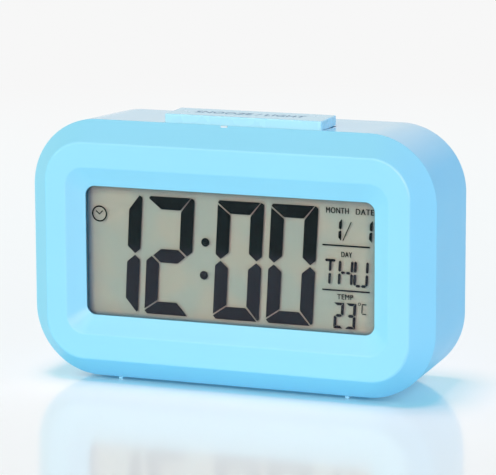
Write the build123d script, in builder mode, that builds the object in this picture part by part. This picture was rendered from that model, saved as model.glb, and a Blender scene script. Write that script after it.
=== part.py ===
from build123d import *
import os
from math import dist, radians, sqrt, tan

# Digital alarm clock, in millimetres. X runs to the right along the face, Y goes from the face to the
# back and Z is up. The origin is on the table, under the middle of the case. A depth is counted back
# from the front ridge, and a height up or down from the centre of the face.

# Case
WIDTH = 135.0
HEIGHT = 83.4
DEPTH = 45.0
FOOT_H = 0.85

# Front bezel: a bevel from the rim to the outer ridge, a flat band, and a funnel down to the window
RIM_DEPTH = 6.63
RIM_R = 22.0
RIM_LAND = 0.3
BEVEL = 6.7
RIDGE_R = 12.8
BAND_X = 6.85
BAND_Z = 8.0
INNER_R = 6.2
FUNNEL_X = 5.45
FUNNEL_TOP = 6.35
FUNNEL_BOTTOM = 5.75
WINDOW_R = 3.2
WINDOW_DEPTH = 3.8
RIDGE_ROUND = 1.0
BEZEL_WALL = 2.0
COLLAR_WALL = 0.9
ROOT_SINK = 0.5

# Rear shell
SHELL_WALL = 2.2
SIDE_DRAFT = 1.95
TOP_DRAFT = 2.6
REAR_R = 21.5
REAR_ROUND = 3.0
TONGUE_L = 2.0
TONGUE_T = 1.3
TONGUE_GAP = 0.12

# Case screws, in long tunnels from the back
POST_IN_X = 9.0
POST_IN_Z = 19.7
POST_R = 3.0
POST_END = 16.0
TUNNEL_WALL = 1.0
TUNNEL_FLOOR = 2.2
HEAD_R = 2.5
HEAD_H = 1.8
SHANK_R = 1.3
SHANK_L = 9.0
HEAD_GAP = 0.2
SHANK_GAP = 0.05
PILOT_SPARE = 1.0

# Feet, moulded as two rails under the shell
RAIL_IN = 29.0
RAIL_BASE = 1.7
RAIL_SLOPE = 70.0
RAIL_FRONT = 7.3
RAIL_END_IN = 6.0

# Display stack, from the front
LIP_T = 0.6
LENS_T = 1.0
LENS_MARGIN = 1.8
LENS_R = 4.0
LENS_GAP = 0.15
LENS_ROUND = 0.2
FILM_T = 0.15
FILM_MARGIN = 1.0
GLASS_T = 0.7
GLASS_MARGIN = 2.6
LEDGE_H = 3.2
STACK_GAP = 0.1
GUIDE_T = 3.0
GUIDE_MARGIN = 0.5
FRAME_WALL = 1.4
FRAME_GAP = 0.2
FRAME_LEDGE = 1.4
ZEBRA_T = 2.0
ZEBRA_ROUND = 0.25
LED_W = 1.6
LED_H = 3.0
LED_T = 2.0
LED_ROUND = 0.2

# Main board
BOARD_FRONT = 12.4
BOARD_T = 1.2
BOARD_MARGIN = 1.3
BOARD_DROP = 12.7
BOARD_R = 1.5
EAR_IN = 14.0
EAR_RISE = 2.0
EAR_R = 3.2
STANDOFF_R = 2.2
SMALL_HEAD_R = 1.9
SMALL_HEAD_H = 1.3
SMALL_SHANK_R = 0.95
SMALL_SHANK_L = 6.0

# Parts on the main board
CHIP_X = -15.0
CHIP_Z = -4.0
CHIP_R = 6.0
CHIP_H = 1.8
CHIP_ROUND = 1.5
CRYSTAL_R = 1.0
CRYSTAL_L = 6.0
CRYSTAL_ROUND = 0.33
CRYSTAL_IN = 16.0
CRYSTAL_Z = 12.0
BEAD_R = 1.2
BEAD_L = 3.0
BEAD_IN = 8.0
BEAD_Z = -24.0
LEG_R = 0.25
LEG_L = 5.0
LEG_PITCH = 1.6

# Light sensor and its light pipe in the rim
SENSOR_X = -2.0
PIPE_W = 2.2
PIPE_T = 0.7
PIPE_FRONT = 6.1
PIPE_GAP = 0.08
PIPE_FOOT_Z = 30.6
PIPE_FOOT_T = 1.4
SENSOR_W = 3.0
SENSOR_H = 1.6
SENSOR_T = 1.2
SENSOR_BEVEL = 0.24

# Snooze bar
BAR_X = 3.8
BAR_W = 52.3
BAR_D = 14.1
BAR_R = 0.5
BAR_PROUD = 2.85
BAR_T = 3.05
BAR_WALL = 1.4
BAR_ROUND = 0.35
BAR_GAP = 0.25
BAR_TRAVEL = 0.8
BAR_FLOOR_GAP = 0.3
FLOOR_T = 2.0
FLOOR_EDGE = 1.8
STEM_X = 18.0
STEM_R = 1.5
STEM_BOSS_R = 2.8
STEM_GAP = 0.1
CUP_R = 3.1
CUP_WALL = 1.2
CUP_DEPTH = 6.8
STEM_TIP = 1.6
SPRING_WIRE = 0.4
SPRING_R = 2.2
SPRING_TURNS = 5
HOOK_X = 9.0
HOOK_W = 3.0
HOOK_T = 1.4
HOOK_BACK = 6.0
BARB = 0.7
BARB_H = 1.2
PRESS_W = 3.0
PRESS_T = 2.4
PRESS_GAP = 0.3

# Push switches, one under the snooze bar and four on the key board
TACT_W = 6.0
TACT_H = 3.5
TACT_R = 1.5
TACT_GAP = 0.1
SNOOZE_TACT_H = 6.0
SNOOZE_TACT_T = 4.5
SNOOZE_PROUD = 0.9
SNOOZE_TACT_DROP = 0.5

# Key board and keys at the back
KEY_DROP = 17.7
KEY_NAMES = ("mode", "set", "up", "down")
KEY_PLACES = (-2.3, -1.3, -0.3, 0.7)
SLIDE_PLACE = 1.8
PANEL_PLACES = 6
KEY_W = 9.0
KEY_H = 5.4
KEY_R = 2.6
KEY_GAP = 0.2
KEY_PROUD = 0.9
KEY_TRAVEL = 0.5
KEY_FLANGE = 1.0
KEY_FLANGE_T = 0.8
KEY_STUB_R = 1.4
KEY_STUB_L = 0.6
PANEL_IN = 18.0
PANEL_H = 13.0
PANEL_R = 6.0
PANEL_DEEP = 1.2
PANEL_WALL = 2.0
PANEL_EDGE = 1.8
KEY_BOARD_T = 1.2
KEY_BOARD_H = 14.0
KEY_BOARD_EDGE = 3.5
KEY_SCREW_IN = 20.5
TACT_PROUD = 0.7

# Alarm on and off slide switch
SLIDE_TRAVEL = 4.0
KNOB_W = 6.0
KNOB_H = 4.0
KNOB_FLANGE_W = 15.0
KNOB_FLANGE_H = 7.0
POST_SIDE = 2.0
SLIDE_BODY_W = 12.0
SLIDE_BODY_H = 5.0
SLIDE_BODY_T = 3.6
SOCKET_DEEP = 2.0
GROOVE_W = 0.5
GROOVE_STEP = 1.5

# Batteries, three cells in a stack
CELL_R = 5.2
CELL_L = 44.5
CELL_ROUND = 0.5
NUB_R = 1.9
NUB_L = 1.3
CELL_GAP = 0.6
BAY_RISE = 27.7
BAY_SLACK = 0.4
BAY_WALL = 1.5
BAY_FLOOR_T = 1.6
CELL_LIFT = 0.2
CELL_COVER = 0.5
RIB_W = 0.8
RIB_H = 2.0
RIB_L = 30.0

# Battery contacts
PLATE_T = 0.4
PLATE_W = 9.0
PLATE_ROUND = 1.1
DIMPLE_R = 1.5
DIMPLE_H = 0.5
COIL_L = 4.0
COIL_R = 2.9
COIL_WIRE = 0.6
COIL_TURNS = 3
TAB_W = 2.0
TAB_L = 1.6
TAB_GAP = 0.2

# Battery door on a hinge along its lower edge
DOOR_T = 2.2
DOOR_LAP = 1.6
DOOR_GAP = 0.3
DOOR_SEAT_GAP = 0.1
LEDGE_T = 1.4
PIN_R = 0.7
PIN_L = 1.2
PIN_GAP = 0.05
GRIP_W = 14.0
GRIP_H = 0.9
GRIP_DEEP = 0.5
GRIP_PITCH = 1.8
GRIP_COUNT = 4
THUMB_R = 8.0
THUMB_DEEP = 1.0

# Buzzer behind its sound holes, halfway from the battery bay to the side
BUZZER_RISE = 6.0
BUZZER_R = 11.0
BUZZER_T = 3.6
BUZZER_ROUND = 0.6
BUZZER_HOLE_R = 1.6
BUZZER_HOLE_DEEP = 1.2
RING_GAP = 0.2
RING_WALL = 1.3
RING_H = 2.6
SOUND_R = 0.8
SOUND_CIRCLE = 4.5
SOUND_COUNT = 6

# Vent slots under the temperature sensor
VENT_W = 1.2
VENT_L = 9.0
VENT_PITCH = 2.6
VENT_COUNT = 4
VENT_DROP = 14.0

# Wires
WIRE_R = 0.6
WIRE_GAP = 0.1
WIRE_BEND_IN = 5.0
LEAD_SHIFT = 5.3
BUZZER_WIRE_PITCH = 4.0
RIBBON_X = 24.0
RIBBON_W = 10.0
RIBBON_T = 0.8
RIBBON_DROP = 4.0
BEND_SHARE = 0.45

# Screw forms, as shares of the head or shank
TIP_SHARE = 0.33
HEAD_ROUND_SHARE = 0.33
CROSS_L_SHARE = 1.1
CROSS_W_SHARE = 0.25
CROSS_DEEP_SHARE = 0.5

# Sizes that follow from these
FACE_Z = FOOT_H + HEIGHT / 2
RIDGE_W = WIDTH - 2 * BEVEL
RIDGE_H = HEIGHT - 2 * BEVEL
INNER_W = RIDGE_W - 2 * BAND_X
INNER_H = RIDGE_H - 2 * BAND_Z
WINDOW_W = INNER_W - 2 * FUNNEL_X
WINDOW_H = INNER_H - FUNNEL_TOP - FUNNEL_BOTTOM
WINDOW_Z = (FUNNEL_BOTTOM - FUNNEL_TOP) / 2
SEAM = RIM_DEPTH + RIM_LAND
LENS_W = WINDOW_W + 2 * LENS_MARGIN
LENS_H = WINDOW_H + 2 * LENS_MARGIN
LENS_FRONT = WINDOW_DEPTH + LIP_T
COLLAR_W = INNER_W + 2 * COLLAR_WALL
COLLAR_H = INNER_H + 2 * COLLAR_WALL
COLLAR_BACK = LENS_FRONT + LENS_T + STACK_GAP
GLASS_W = WINDOW_W + 2 * GLASS_MARGIN
GLASS_H = WINDOW_H + 2 * GLASS_MARGIN
FRONT_GLASS = COLLAR_BACK + FILM_T
REAR_GLASS = FRONT_GLASS + GLASS_T
REAR_FILM = REAR_GLASS + GLASS_T
GUIDE_FRONT = REAR_FILM + FILM_T
FRAME_W = GLASS_W + 2 * (FRAME_GAP + FRAME_WALL)
FRAME_H = GLASS_H + LEDGE_H + 2 * (FRAME_GAP + FRAME_WALL)
BOARD_BACK = BOARD_FRONT + BOARD_T
BOARD_W = FRAME_W + 2 * BOARD_MARGIN
BOARD_TOP = HEIGHT / 2 - BOARD_DROP
BOARD_BOTTOM = -GLASS_H / 2 - LEDGE_H - FRAME_GAP - FRAME_WALL - BOARD_MARGIN
RAIL_X = WIDTH / 2 - RAIL_IN
RAIL_BACK = DEPTH - RAIL_END_IN
POST_X = WIDTH / 2 - POST_IN_X
POST_Z = HEIGHT / 2 - POST_IN_Z
TUNNEL_R = HEAD_R + HEAD_GAP + TUNNEL_WALL
TUNNEL_SEAT = POST_END + TUNNEL_FLOOR
EAR_X = BOARD_W / 2 - EAR_IN
EAR_Z = BOARD_TOP + EAR_RISE
CRYSTAL_X = -BOARD_W / 2 + CRYSTAL_IN
BEAD_X = BOARD_W / 2 - BEAD_IN
BAR_TOP = HEIGHT / 2 + BAR_PROUD
BAR_BOTTOM = BAR_TOP - BAR_T
BAR_FRONT = SEAM + BAR_GAP
BAR_MID = BAR_FRONT + BAR_D / 2
POCKET_Z = BAR_BOTTOM - BAR_TRAVEL - BAR_FLOOR_GAP
POCKET_W = BAR_W + 2 * BAR_GAP
POCKET_D = BAR_D + 2 * BAR_GAP
CUP_BOTTOM = POCKET_Z - CUP_DEPTH
STEM_END = BOARD_TOP + STEM_TIP
SNOOZE_TACT_MID = BOARD_BACK + SNOOZE_TACT_T / 2
SNOOZE_TACT_TOP = BOARD_TOP - SNOOZE_TACT_DROP
PRESS_END = SNOOZE_TACT_TOP + SNOOZE_PROUD
PANEL_W = WIDTH - 2 * PANEL_IN
PANEL_FLOOR = DEPTH - PANEL_DEEP
PANEL_INNER = PANEL_FLOOR - PANEL_WALL
KEY_Z = HEIGHT / 2 - KEY_DROP
KEY_STEP = PANEL_W / PANEL_PLACES
KEY_XS = [place * KEY_STEP for place in KEY_PLACES]
SLIDE_X = SLIDE_PLACE * KEY_STEP
KEY_SCREW_X = WIDTH / 2 - KEY_SCREW_IN
KEY_BOARD_W = 2 * (KEY_SCREW_X + KEY_BOARD_EDGE)
FLANGE_BACK = PANEL_INNER - TACT_GAP
FLANGE_FRONT = FLANGE_BACK - KEY_FLANGE_T
KEY_PLUNGER = FLANGE_FRONT - KEY_STUB_L
TACT_TOP = KEY_PLUNGER - TACT_PROUD
KEY_BOARD_BACK = TACT_TOP - TACT_H
KEY_BOARD_FRONT = KEY_BOARD_BACK - KEY_BOARD_T
CELL_STEP = 2 * CELL_R + CELL_GAP
BAY_Z = -HEIGHT / 2 + BAY_RISE
BAY_W = DIMPLE_H + CELL_L + COIL_L + 2 * PLATE_T
BAY_H = 2 * (CELL_STEP + CELL_R + BAY_SLACK)
DOOR_W = BAY_W + 2 * DOOR_LAP
DOOR_H = BAY_H + 2 * DOOR_LAP
DOOR_SEAT = DEPTH - DOOR_T - DOOR_SEAT_GAP
CELL_DEPTH = DEPTH - DOOR_T - CELL_COVER - CELL_R
BAY_FLOOR = CELL_DEPTH - CELL_R - CELL_LIFT
HINGE_DEPTH = DEPTH - DOOR_T / 2
HINGE_Z = BAY_Z - DOOR_H / 2 + DOOR_T / 2
BAY_SIDE = DOOR_W / 2 + DOOR_GAP + BAY_WALL
BUZZER_X = -(BAY_SIDE + WIDTH / 2) / 2
BUZZER_Z = BAY_Z + BUZZER_RISE
VENT_X = (BAY_SIDE + WIDTH / 2) / 2
VENT_Z = BAY_Z - VENT_DROP


def front_plane(depth, x=0.0, height=0.0):
    """A plane facing the viewer, with local x to the right and local y up."""
    return Plane((x, depth - DEPTH / 2, FACE_Z + height), x_dir=(1, 0, 0), z_dir=(0, -1, 0))


def level_plane(height, x=0.0, depth=0.0):
    """A level plane, with local x to the right and local y towards the back."""
    return Plane((x, depth - DEPTH / 2, FACE_Z + height), x_dir=(1, 0, 0), z_dir=(0, 0, 1))


def side_plane(x, depth=0.0, height=0.0):
    """A plane facing right, with local x towards the back and local y up."""
    return Plane((x, depth - DEPTH / 2, FACE_Z + height), x_dir=(0, 1, 0), z_dir=(1, 0, 0))


def at(x, depth, height):
    """The point at this x, depth and height."""
    return (x, depth - DEPTH / 2, FACE_Z + height)


def case_top(depth):
    """Height of the shell's drafted top at this depth; its bottom stays level."""
    return HEIGHT / 2 - (depth - SEAM) * tan(radians(TOP_DRAFT))


def case_outline(depth, inset=0.0):
    """Width, height and corner radius of the shell at this depth, drawn inside it by the inset."""
    width = WIDTH - 2 * (depth - SEAM) * tan(radians(SIDE_DRAFT))
    height = case_top(depth) + HEIGHT / 2
    corner = RIM_R + (REAR_R - RIM_R) * (depth - SEAM) / (DEPTH - SEAM)
    return width - 2 * inset, height - 2 * inset, corner - inset


def case_plane(depth):
    """A plane facing the viewer at the middle of the shell's outline at this depth."""
    return front_plane(depth, height=(case_top(depth) - HEIGHT / 2) / 2)


def least_gap(path, wire, turns):
    """Least gap between the turns of a wound wire, measured on points along its line."""
    per_turn = 36
    count = per_turn * turns
    points = [tuple(path @ (i / count)) for i in range(count + 1)]
    reach = per_turn // 2
    pairs = ((i, j) for i in range(count + 1) for j in range(i + reach, count + 1))
    return min(dist(points[i], points[j]) for i, j in pairs) - wire


os.makedirs("parts", exist_ok=True)

# Front bezel
with BuildPart() as front_bezel:
    # Bevel between the rim and the outer ridge
    with BuildSketch(front_plane(RIM_DEPTH)):
        RectangleRounded(WIDTH, HEIGHT, RIM_R)
    with BuildSketch(front_plane(0)):
        RectangleRounded(RIDGE_W, RIDGE_H, RIDGE_R)
    loft(ruled=True)
    with BuildSketch(front_plane(SEAM)):
        RectangleRounded(WIDTH, HEIGHT, RIM_R)
    extrude(amount=RIM_LAND)
    fillet(front_bezel.faces().sort_by(Axis.Y)[0].edges(), RIDGE_ROUND)
    # Hollow behind the bevel and the flat band
    wall_in = BEZEL_WALL * sqrt(2)
    slope_in = wall_in + (RIM_DEPTH - BEZEL_WALL) * BEVEL / RIM_DEPTH
    with BuildSketch(front_plane(RIM_DEPTH)):
        RectangleRounded(WIDTH - 2 * wall_in, HEIGHT - 2 * wall_in, RIM_R - wall_in)
    with BuildSketch(front_plane(BEZEL_WALL)):
        RectangleRounded(WIDTH - 2 * slope_in, HEIGHT - 2 * slope_in, RIM_R - slope_in)
    loft(ruled=True, mode=Mode.SUBTRACT)
    with BuildSketch(front_plane(SEAM)):
        RectangleRounded(WIDTH - 2 * wall_in, HEIGHT - 2 * wall_in, RIM_R - wall_in)
    extrude(amount=RIM_LAND, mode=Mode.SUBTRACT)
    # Collar that holds the lens, and the funnel and window through it
    with BuildSketch(front_plane(COLLAR_BACK)):
        RectangleRounded(COLLAR_W, COLLAR_H, INNER_R + COLLAR_WALL)
    extrude(amount=COLLAR_BACK - BEZEL_WALL + ROOT_SINK)
    with BuildSketch(front_plane(0)):
        RectangleRounded(INNER_W, INNER_H, INNER_R)
    with BuildSketch(front_plane(WINDOW_DEPTH, height=WINDOW_Z)):
        RectangleRounded(WINDOW_W, WINDOW_H, WINDOW_R)
    loft(ruled=True, mode=Mode.SUBTRACT)
    with BuildSketch(front_plane(LENS_FRONT, height=WINDOW_Z)):
        RectangleRounded(WINDOW_W, WINDOW_H, WINDOW_R)
    extrude(amount=LIP_T, mode=Mode.SUBTRACT)
    with BuildSketch(front_plane(COLLAR_BACK)):
        RectangleRounded(LENS_W + 2 * LENS_GAP, LENS_H + 2 * LENS_GAP, LENS_R + LENS_GAP)
    extrude(amount=COLLAR_BACK - LENS_FRONT, mode=Mode.SUBTRACT)
    fillet(front_bezel.faces().sort_by(Axis.Y)[0].inner_wires()[0].edges(), RIDGE_ROUND)
    # Tongue into the shell, with a notch for the floor under the snooze bar
    tongue_in = SHELL_WALL + TONGUE_GAP
    with BuildSketch(front_plane(SEAM + TONGUE_L)):
        RectangleRounded(WIDTH - 2 * tongue_in, HEIGHT - 2 * tongue_in, RIM_R - tongue_in)
        inner_in = tongue_in + TONGUE_T
        RectangleRounded(
            WIDTH - 2 * inner_in, HEIGHT - 2 * inner_in, RIM_R - inner_in, mode=Mode.SUBTRACT
        )
    extrude(amount=SEAM + TONGUE_L - RIM_DEPTH + BEZEL_WALL)
    with BuildSketch(front_plane(SEAM + TONGUE_L, BAR_X, HEIGHT / 2)):
        Rectangle(POCKET_W + 2 * FLOOR_EDGE + 2 * BAR_GAP, 2 * (inner_in + TONGUE_T))
    extrude(amount=TONGUE_L, mode=Mode.SUBTRACT)
    # Posts for the case screws and standoffs for the main board
    with BuildSketch(front_plane(POST_END)):
        with GridLocations(2 * POST_X, 2 * POST_Z, 2, 2):
            Circle(POST_R)
    extrude(amount=POST_END - BEZEL_WALL + ROOT_SINK)
    with BuildSketch(front_plane(POST_END)):
        with GridLocations(2 * POST_X, 2 * POST_Z, 2, 2):
            Circle(SHANK_R + SHANK_GAP)
    extrude(amount=SHANK_L - TUNNEL_FLOOR + PILOT_SPARE, mode=Mode.SUBTRACT)
    with BuildSketch(front_plane(BOARD_FRONT)):
        with GridLocations(2 * EAR_X, 2 * EAR_Z, 2, 2):
            Circle(STANDOFF_R)
    extrude(amount=BOARD_FRONT - BEZEL_WALL + ROOT_SINK)
    with BuildSketch(front_plane(BOARD_FRONT)):
        with GridLocations(2 * EAR_X, 2 * EAR_Z, 2, 2):
            Circle(SMALL_SHANK_R + SHANK_GAP)
    extrude(amount=SMALL_SHANK_L - BOARD_T + PILOT_SPARE, mode=Mode.SUBTRACT)
    # Slot in the rim for the light pipe
    with BuildSketch(front_plane(SEAM, SENSOR_X, HEIGHT / 2)):
        Rectangle(PIPE_W + 2 * PIPE_GAP, 2 * inner_in)
    extrude(amount=SEAM - PIPE_FRONT, mode=Mode.SUBTRACT)
front_bezel.part.label = "front_bezel"
export_step(front_bezel.part, "parts/front_bezel.step")

# Rear shell
with BuildPart() as rear_shell:
    with BuildSketch(case_plane(SEAM)):
        RectangleRounded(*case_outline(SEAM))
    with BuildSketch(case_plane(DEPTH)):
        RectangleRounded(*case_outline(DEPTH))
    loft(ruled=True)
    fillet(rear_shell.faces().sort_by(Axis.Y)[-1].edges(), REAR_ROUND)
    with BuildSketch(case_plane(SEAM)):
        RectangleRounded(*case_outline(SEAM, SHELL_WALL))
    with BuildSketch(case_plane(DEPTH - SHELL_WALL)):
        RectangleRounded(*case_outline(DEPTH - SHELL_WALL, SHELL_WALL))
    loft(ruled=True, mode=Mode.SUBTRACT)
    # Foot rails
    with BuildSketch(front_plane(RAIL_BACK, height=-HEIGHT / 2)):
        with GridLocations(2 * RAIL_X, 0, 2, 1):
            Trapezoid(RAIL_BASE, FOOT_H, RAIL_SLOPE, rotation=180, align=(Align.CENTER, Align.MIN))
            Rectangle(RAIL_BASE, SHELL_WALL / 2, align=(Align.CENTER, Align.MIN))
    extrude(amount=RAIL_BACK - RAIL_FRONT)
    # Tunnels for the case screws
    with BuildSketch(front_plane(DEPTH - SHELL_WALL / 2)):
        with GridLocations(2 * POST_X, 2 * POST_Z, 2, 2):
            Circle(TUNNEL_R)
    extrude(amount=DEPTH - SHELL_WALL / 2 - POST_END)
    with BuildSketch(front_plane(DEPTH)):
        with GridLocations(2 * POST_X, 2 * POST_Z, 2, 2):
            Circle(HEAD_R + HEAD_GAP)
    extrude(amount=DEPTH - TUNNEL_SEAT, mode=Mode.SUBTRACT)
    with BuildSketch(front_plane(TUNNEL_SEAT)):
        with GridLocations(2 * POST_X, 2 * POST_Z, 2, 2):
            Circle(SHANK_R + HEAD_GAP)
    extrude(amount=TUNNEL_FLOOR, mode=Mode.SUBTRACT)
    # Floor and pocket under the snooze bar, with its spring cups, stem holes and slots
    with BuildSketch(level_plane(POCKET_Z, BAR_X, SEAM)):
        Rectangle(POCKET_W + 2 * FLOOR_EDGE, POCKET_D + FLOOR_EDGE, align=(Align.CENTER, Align.MIN))
    extrude(amount=-FLOOR_T)
    with BuildSketch(level_plane(POCKET_Z, BAR_X, BAR_MID)):
        with GridLocations(2 * STEM_X, 0, 2, 1):
            Circle(CUP_R + CUP_WALL)
    extrude(amount=-CUP_DEPTH - CUP_WALL)
    with BuildSketch(level_plane(POCKET_Z, BAR_X, SEAM)):
        Rectangle(POCKET_W, POCKET_D, align=(Align.CENTER, Align.MIN))
    extrude(amount=HEIGHT / 2, mode=Mode.SUBTRACT)
    with BuildSketch(level_plane(POCKET_Z, BAR_X, BAR_MID)):
        with GridLocations(2 * STEM_X, 0, 2, 1):
            Circle(CUP_R)
    extrude(amount=-CUP_DEPTH, mode=Mode.SUBTRACT)
    with BuildSketch(level_plane(CUP_BOTTOM, BAR_X, BAR_MID)):
        with GridLocations(2 * STEM_X, 0, 2, 1):
            Circle(STEM_R + STEM_GAP)
    extrude(amount=-CUP_WALL, mode=Mode.SUBTRACT)
    with BuildSketch(level_plane(POCKET_Z, BAR_X, BAR_MID)):
        with Locations((0, SNOOZE_TACT_MID - BAR_MID)):
            Rectangle(PRESS_W + 2 * PRESS_GAP, PRESS_T + 2 * PRESS_GAP)
        with Locations((-HOOK_X, HOOK_BACK), (HOOK_X, HOOK_BACK)):
            Rectangle(HOOK_W + 2 * BAR_GAP, HOOK_T + 2 * BAR_GAP, align=(Align.CENTER, Align.MAX))
    extrude(amount=-FLOOR_T, mode=Mode.SUBTRACT)
    # Key panel, sunk in the back, with a thicker wall behind it
    with BuildSketch(front_plane(DEPTH - SHELL_WALL / 2, height=KEY_Z)):
        RectangleRounded(PANEL_W + 2 * PANEL_EDGE, PANEL_H + 2 * PANEL_EDGE, PANEL_R + PANEL_EDGE)
    extrude(amount=DEPTH - SHELL_WALL / 2 - PANEL_INNER)
    with BuildSketch(front_plane(DEPTH, height=KEY_Z)):
        RectangleRounded(PANEL_W, PANEL_H, PANEL_R)
    extrude(amount=PANEL_DEEP, mode=Mode.SUBTRACT)
    with BuildSketch(front_plane(DEPTH, height=KEY_Z)):
        with Locations(*((x, 0) for x in KEY_XS)):
            RectangleRounded(KEY_W + 2 * KEY_GAP, KEY_H + 2 * KEY_GAP, KEY_R + KEY_GAP)
        with Locations((SLIDE_X + SLIDE_TRAVEL / 2, 0)):
            Rectangle(KNOB_W + SLIDE_TRAVEL + 2 * KEY_GAP, KNOB_H + 2 * KEY_GAP)
    extrude(amount=DEPTH - PANEL_INNER, mode=Mode.SUBTRACT)
    with BuildSketch(front_plane(PANEL_INNER, height=KEY_Z)):
        with GridLocations(2 * KEY_SCREW_X, 0, 2, 1):
            Circle(STANDOFF_R)
    extrude(amount=PANEL_INNER - KEY_BOARD_BACK)
    with BuildSketch(front_plane(KEY_BOARD_BACK + SMALL_SHANK_L - KEY_BOARD_T, height=KEY_Z)):
        with GridLocations(2 * KEY_SCREW_X, 0, 2, 1):
            Circle(SMALL_SHANK_R + SHANK_GAP)
    extrude(amount=SMALL_SHANK_L - KEY_BOARD_T, mode=Mode.SUBTRACT)
    # Battery bay with cell ribs on its floor
    with BuildSketch(front_plane(DEPTH - SHELL_WALL / 2, height=BAY_Z)):
        Rectangle(BAY_W + 2 * BAY_WALL, BAY_H + 2 * BAY_WALL)
    extrude(amount=DEPTH - SHELL_WALL / 2 - BAY_FLOOR + BAY_FLOOR_T)
    with BuildSketch(front_plane(DEPTH - SHELL_WALL / 2, height=BAY_Z)):
        lap = 2 * (DOOR_GAP + BAY_WALL)
        Rectangle(DOOR_W + lap, DOOR_H + lap)
    extrude(amount=DEPTH - SHELL_WALL / 2 - DOOR_SEAT + LEDGE_T)
    with BuildSketch(front_plane(DEPTH, height=BAY_Z)):
        Rectangle(BAY_W, BAY_H)
    extrude(amount=DEPTH - BAY_FLOOR, mode=Mode.SUBTRACT)
    with BuildSketch(front_plane(DEPTH, height=BAY_Z)):
        Rectangle(DOOR_W + 2 * DOOR_GAP, DOOR_H + 2 * DOOR_GAP)
    extrude(amount=DEPTH - DOOR_SEAT, mode=Mode.SUBTRACT)
    with BuildSketch(front_plane(BAY_FLOOR, height=BAY_Z)):
        with GridLocations(0, CELL_STEP, 1, 2):
            Rectangle(RIB_L, RIB_W)
    extrude(amount=-RIB_H)
    # Slots in the bay's floor for the solder tabs
    with BuildSketch(front_plane(BAY_FLOOR, height=BAY_Z)):
        slot = (PLATE_T + TAB_GAP, TAB_W + 2 * TAB_GAP)
        with Locations((-BAY_W / 2, CELL_STEP)):
            Rectangle(*slot, align=(Align.MIN, Align.CENTER))
        with Locations((BAY_W / 2, -CELL_STEP)):
            Rectangle(*slot, align=(Align.MAX, Align.CENTER))
    extrude(amount=BAY_FLOOR_T, mode=Mode.SUBTRACT)
    # Blind holes for the door's hinge pins, and a thumb recess above the door
    with BuildSketch(side_plane(-DOOR_W / 2 - PIN_L - PIN_GAP, HINGE_DEPTH, HINGE_Z)):
        Circle(PIN_R + PIN_GAP)
    extrude(amount=DOOR_W + 2 * (PIN_L + PIN_GAP), mode=Mode.SUBTRACT)
    with BuildSketch(front_plane(DEPTH, height=BAY_Z + DOOR_H / 2)):
        Circle(THUMB_R)
        Rectangle(2 * THUMB_R, THUMB_R, align=(Align.CENTER, Align.MAX), mode=Mode.SUBTRACT)
    extrude(amount=THUMB_DEEP, mode=Mode.SUBTRACT)
    # Buzzer seat and sound holes
    with BuildSketch(front_plane(DEPTH - SHELL_WALL / 2, BUZZER_X, BUZZER_Z)):
        Circle(BUZZER_R + RING_GAP + RING_WALL)
        Circle(BUZZER_R + RING_GAP, mode=Mode.SUBTRACT)
    extrude(amount=SHELL_WALL / 2 + RING_H)
    with BuildSketch(front_plane(DEPTH, BUZZER_X, BUZZER_Z)):
        Circle(SOUND_R)
        with PolarLocations(SOUND_CIRCLE, SOUND_COUNT):
            Circle(SOUND_R)
    extrude(amount=SHELL_WALL, mode=Mode.SUBTRACT)
    # Vent slots in the back
    with BuildSketch(front_plane(DEPTH, VENT_X, VENT_Z)):
        with GridLocations(VENT_PITCH, 0, VENT_COUNT, 1):
            SlotOverall(VENT_L, VENT_W, rotation=90)
    extrude(amount=SHELL_WALL, mode=Mode.SUBTRACT)
rear_shell.part.label = "rear_shell"
export_step(rear_shell.part, "parts/rear_shell.step")

# Snooze bar: a hollow cap with two spring stems, two snap hooks and the rib that works its switch
with BuildPart() as snooze_bar:
    with BuildSketch(level_plane(BAR_TOP, BAR_X, BAR_MID)):
        RectangleRounded(BAR_W, BAR_D, BAR_R)
    extrude(amount=-BAR_T)
    fillet(snooze_bar.faces().sort_by(Axis.Z)[-1].edges(), BAR_ROUND)
    with BuildSketch(level_plane(BAR_BOTTOM, BAR_X, BAR_MID)):
        Rectangle(BAR_W - 2 * BAR_WALL, BAR_D - 2 * BAR_WALL)
    extrude(amount=BAR_T - BAR_WALL, mode=Mode.SUBTRACT)
    with BuildSketch(level_plane(BAR_BOTTOM, BAR_X, BAR_MID)):
        with GridLocations(2 * STEM_X, 0, 2, 1):
            Circle(STEM_BOSS_R)
    extrude(amount=BAR_T - BAR_WALL / 2)
    with BuildSketch(level_plane(STEM_END, BAR_X, BAR_MID)):
        with GridLocations(2 * STEM_X, 0, 2, 1):
            Circle(STEM_R)
    extrude(amount=BAR_BOTTOM - STEM_END)
    with BuildSketch(level_plane(PRESS_END, BAR_X, SNOOZE_TACT_MID)):
        Rectangle(PRESS_W, PRESS_T)
    extrude(amount=BAR_TOP - BAR_WALL / 2 - PRESS_END)
    hook_end = POCKET_Z - FLOOR_T - BARB_H
    with BuildSketch(level_plane(hook_end, BAR_X, BAR_MID + HOOK_BACK - BAR_GAP)):
        with GridLocations(2 * HOOK_X, 0, 2, 1):
            Rectangle(HOOK_W, HOOK_T, align=(Align.CENTER, Align.MAX))
    extrude(amount=BAR_TOP - BAR_WALL / 2 - hook_end)
    with BuildSketch(level_plane(hook_end, BAR_X, BAR_MID + HOOK_BACK - BAR_GAP)):
        with GridLocations(2 * HOOK_X, 0, 2, 1):
            Rectangle(HOOK_W, BARB, align=(Align.CENTER, Align.MIN))
    extrude(amount=BARB_H - TACT_GAP)
snooze_bar.part.label = "snooze_bar"
export_step(snooze_bar.part, "parts/snooze_bar.step")

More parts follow.
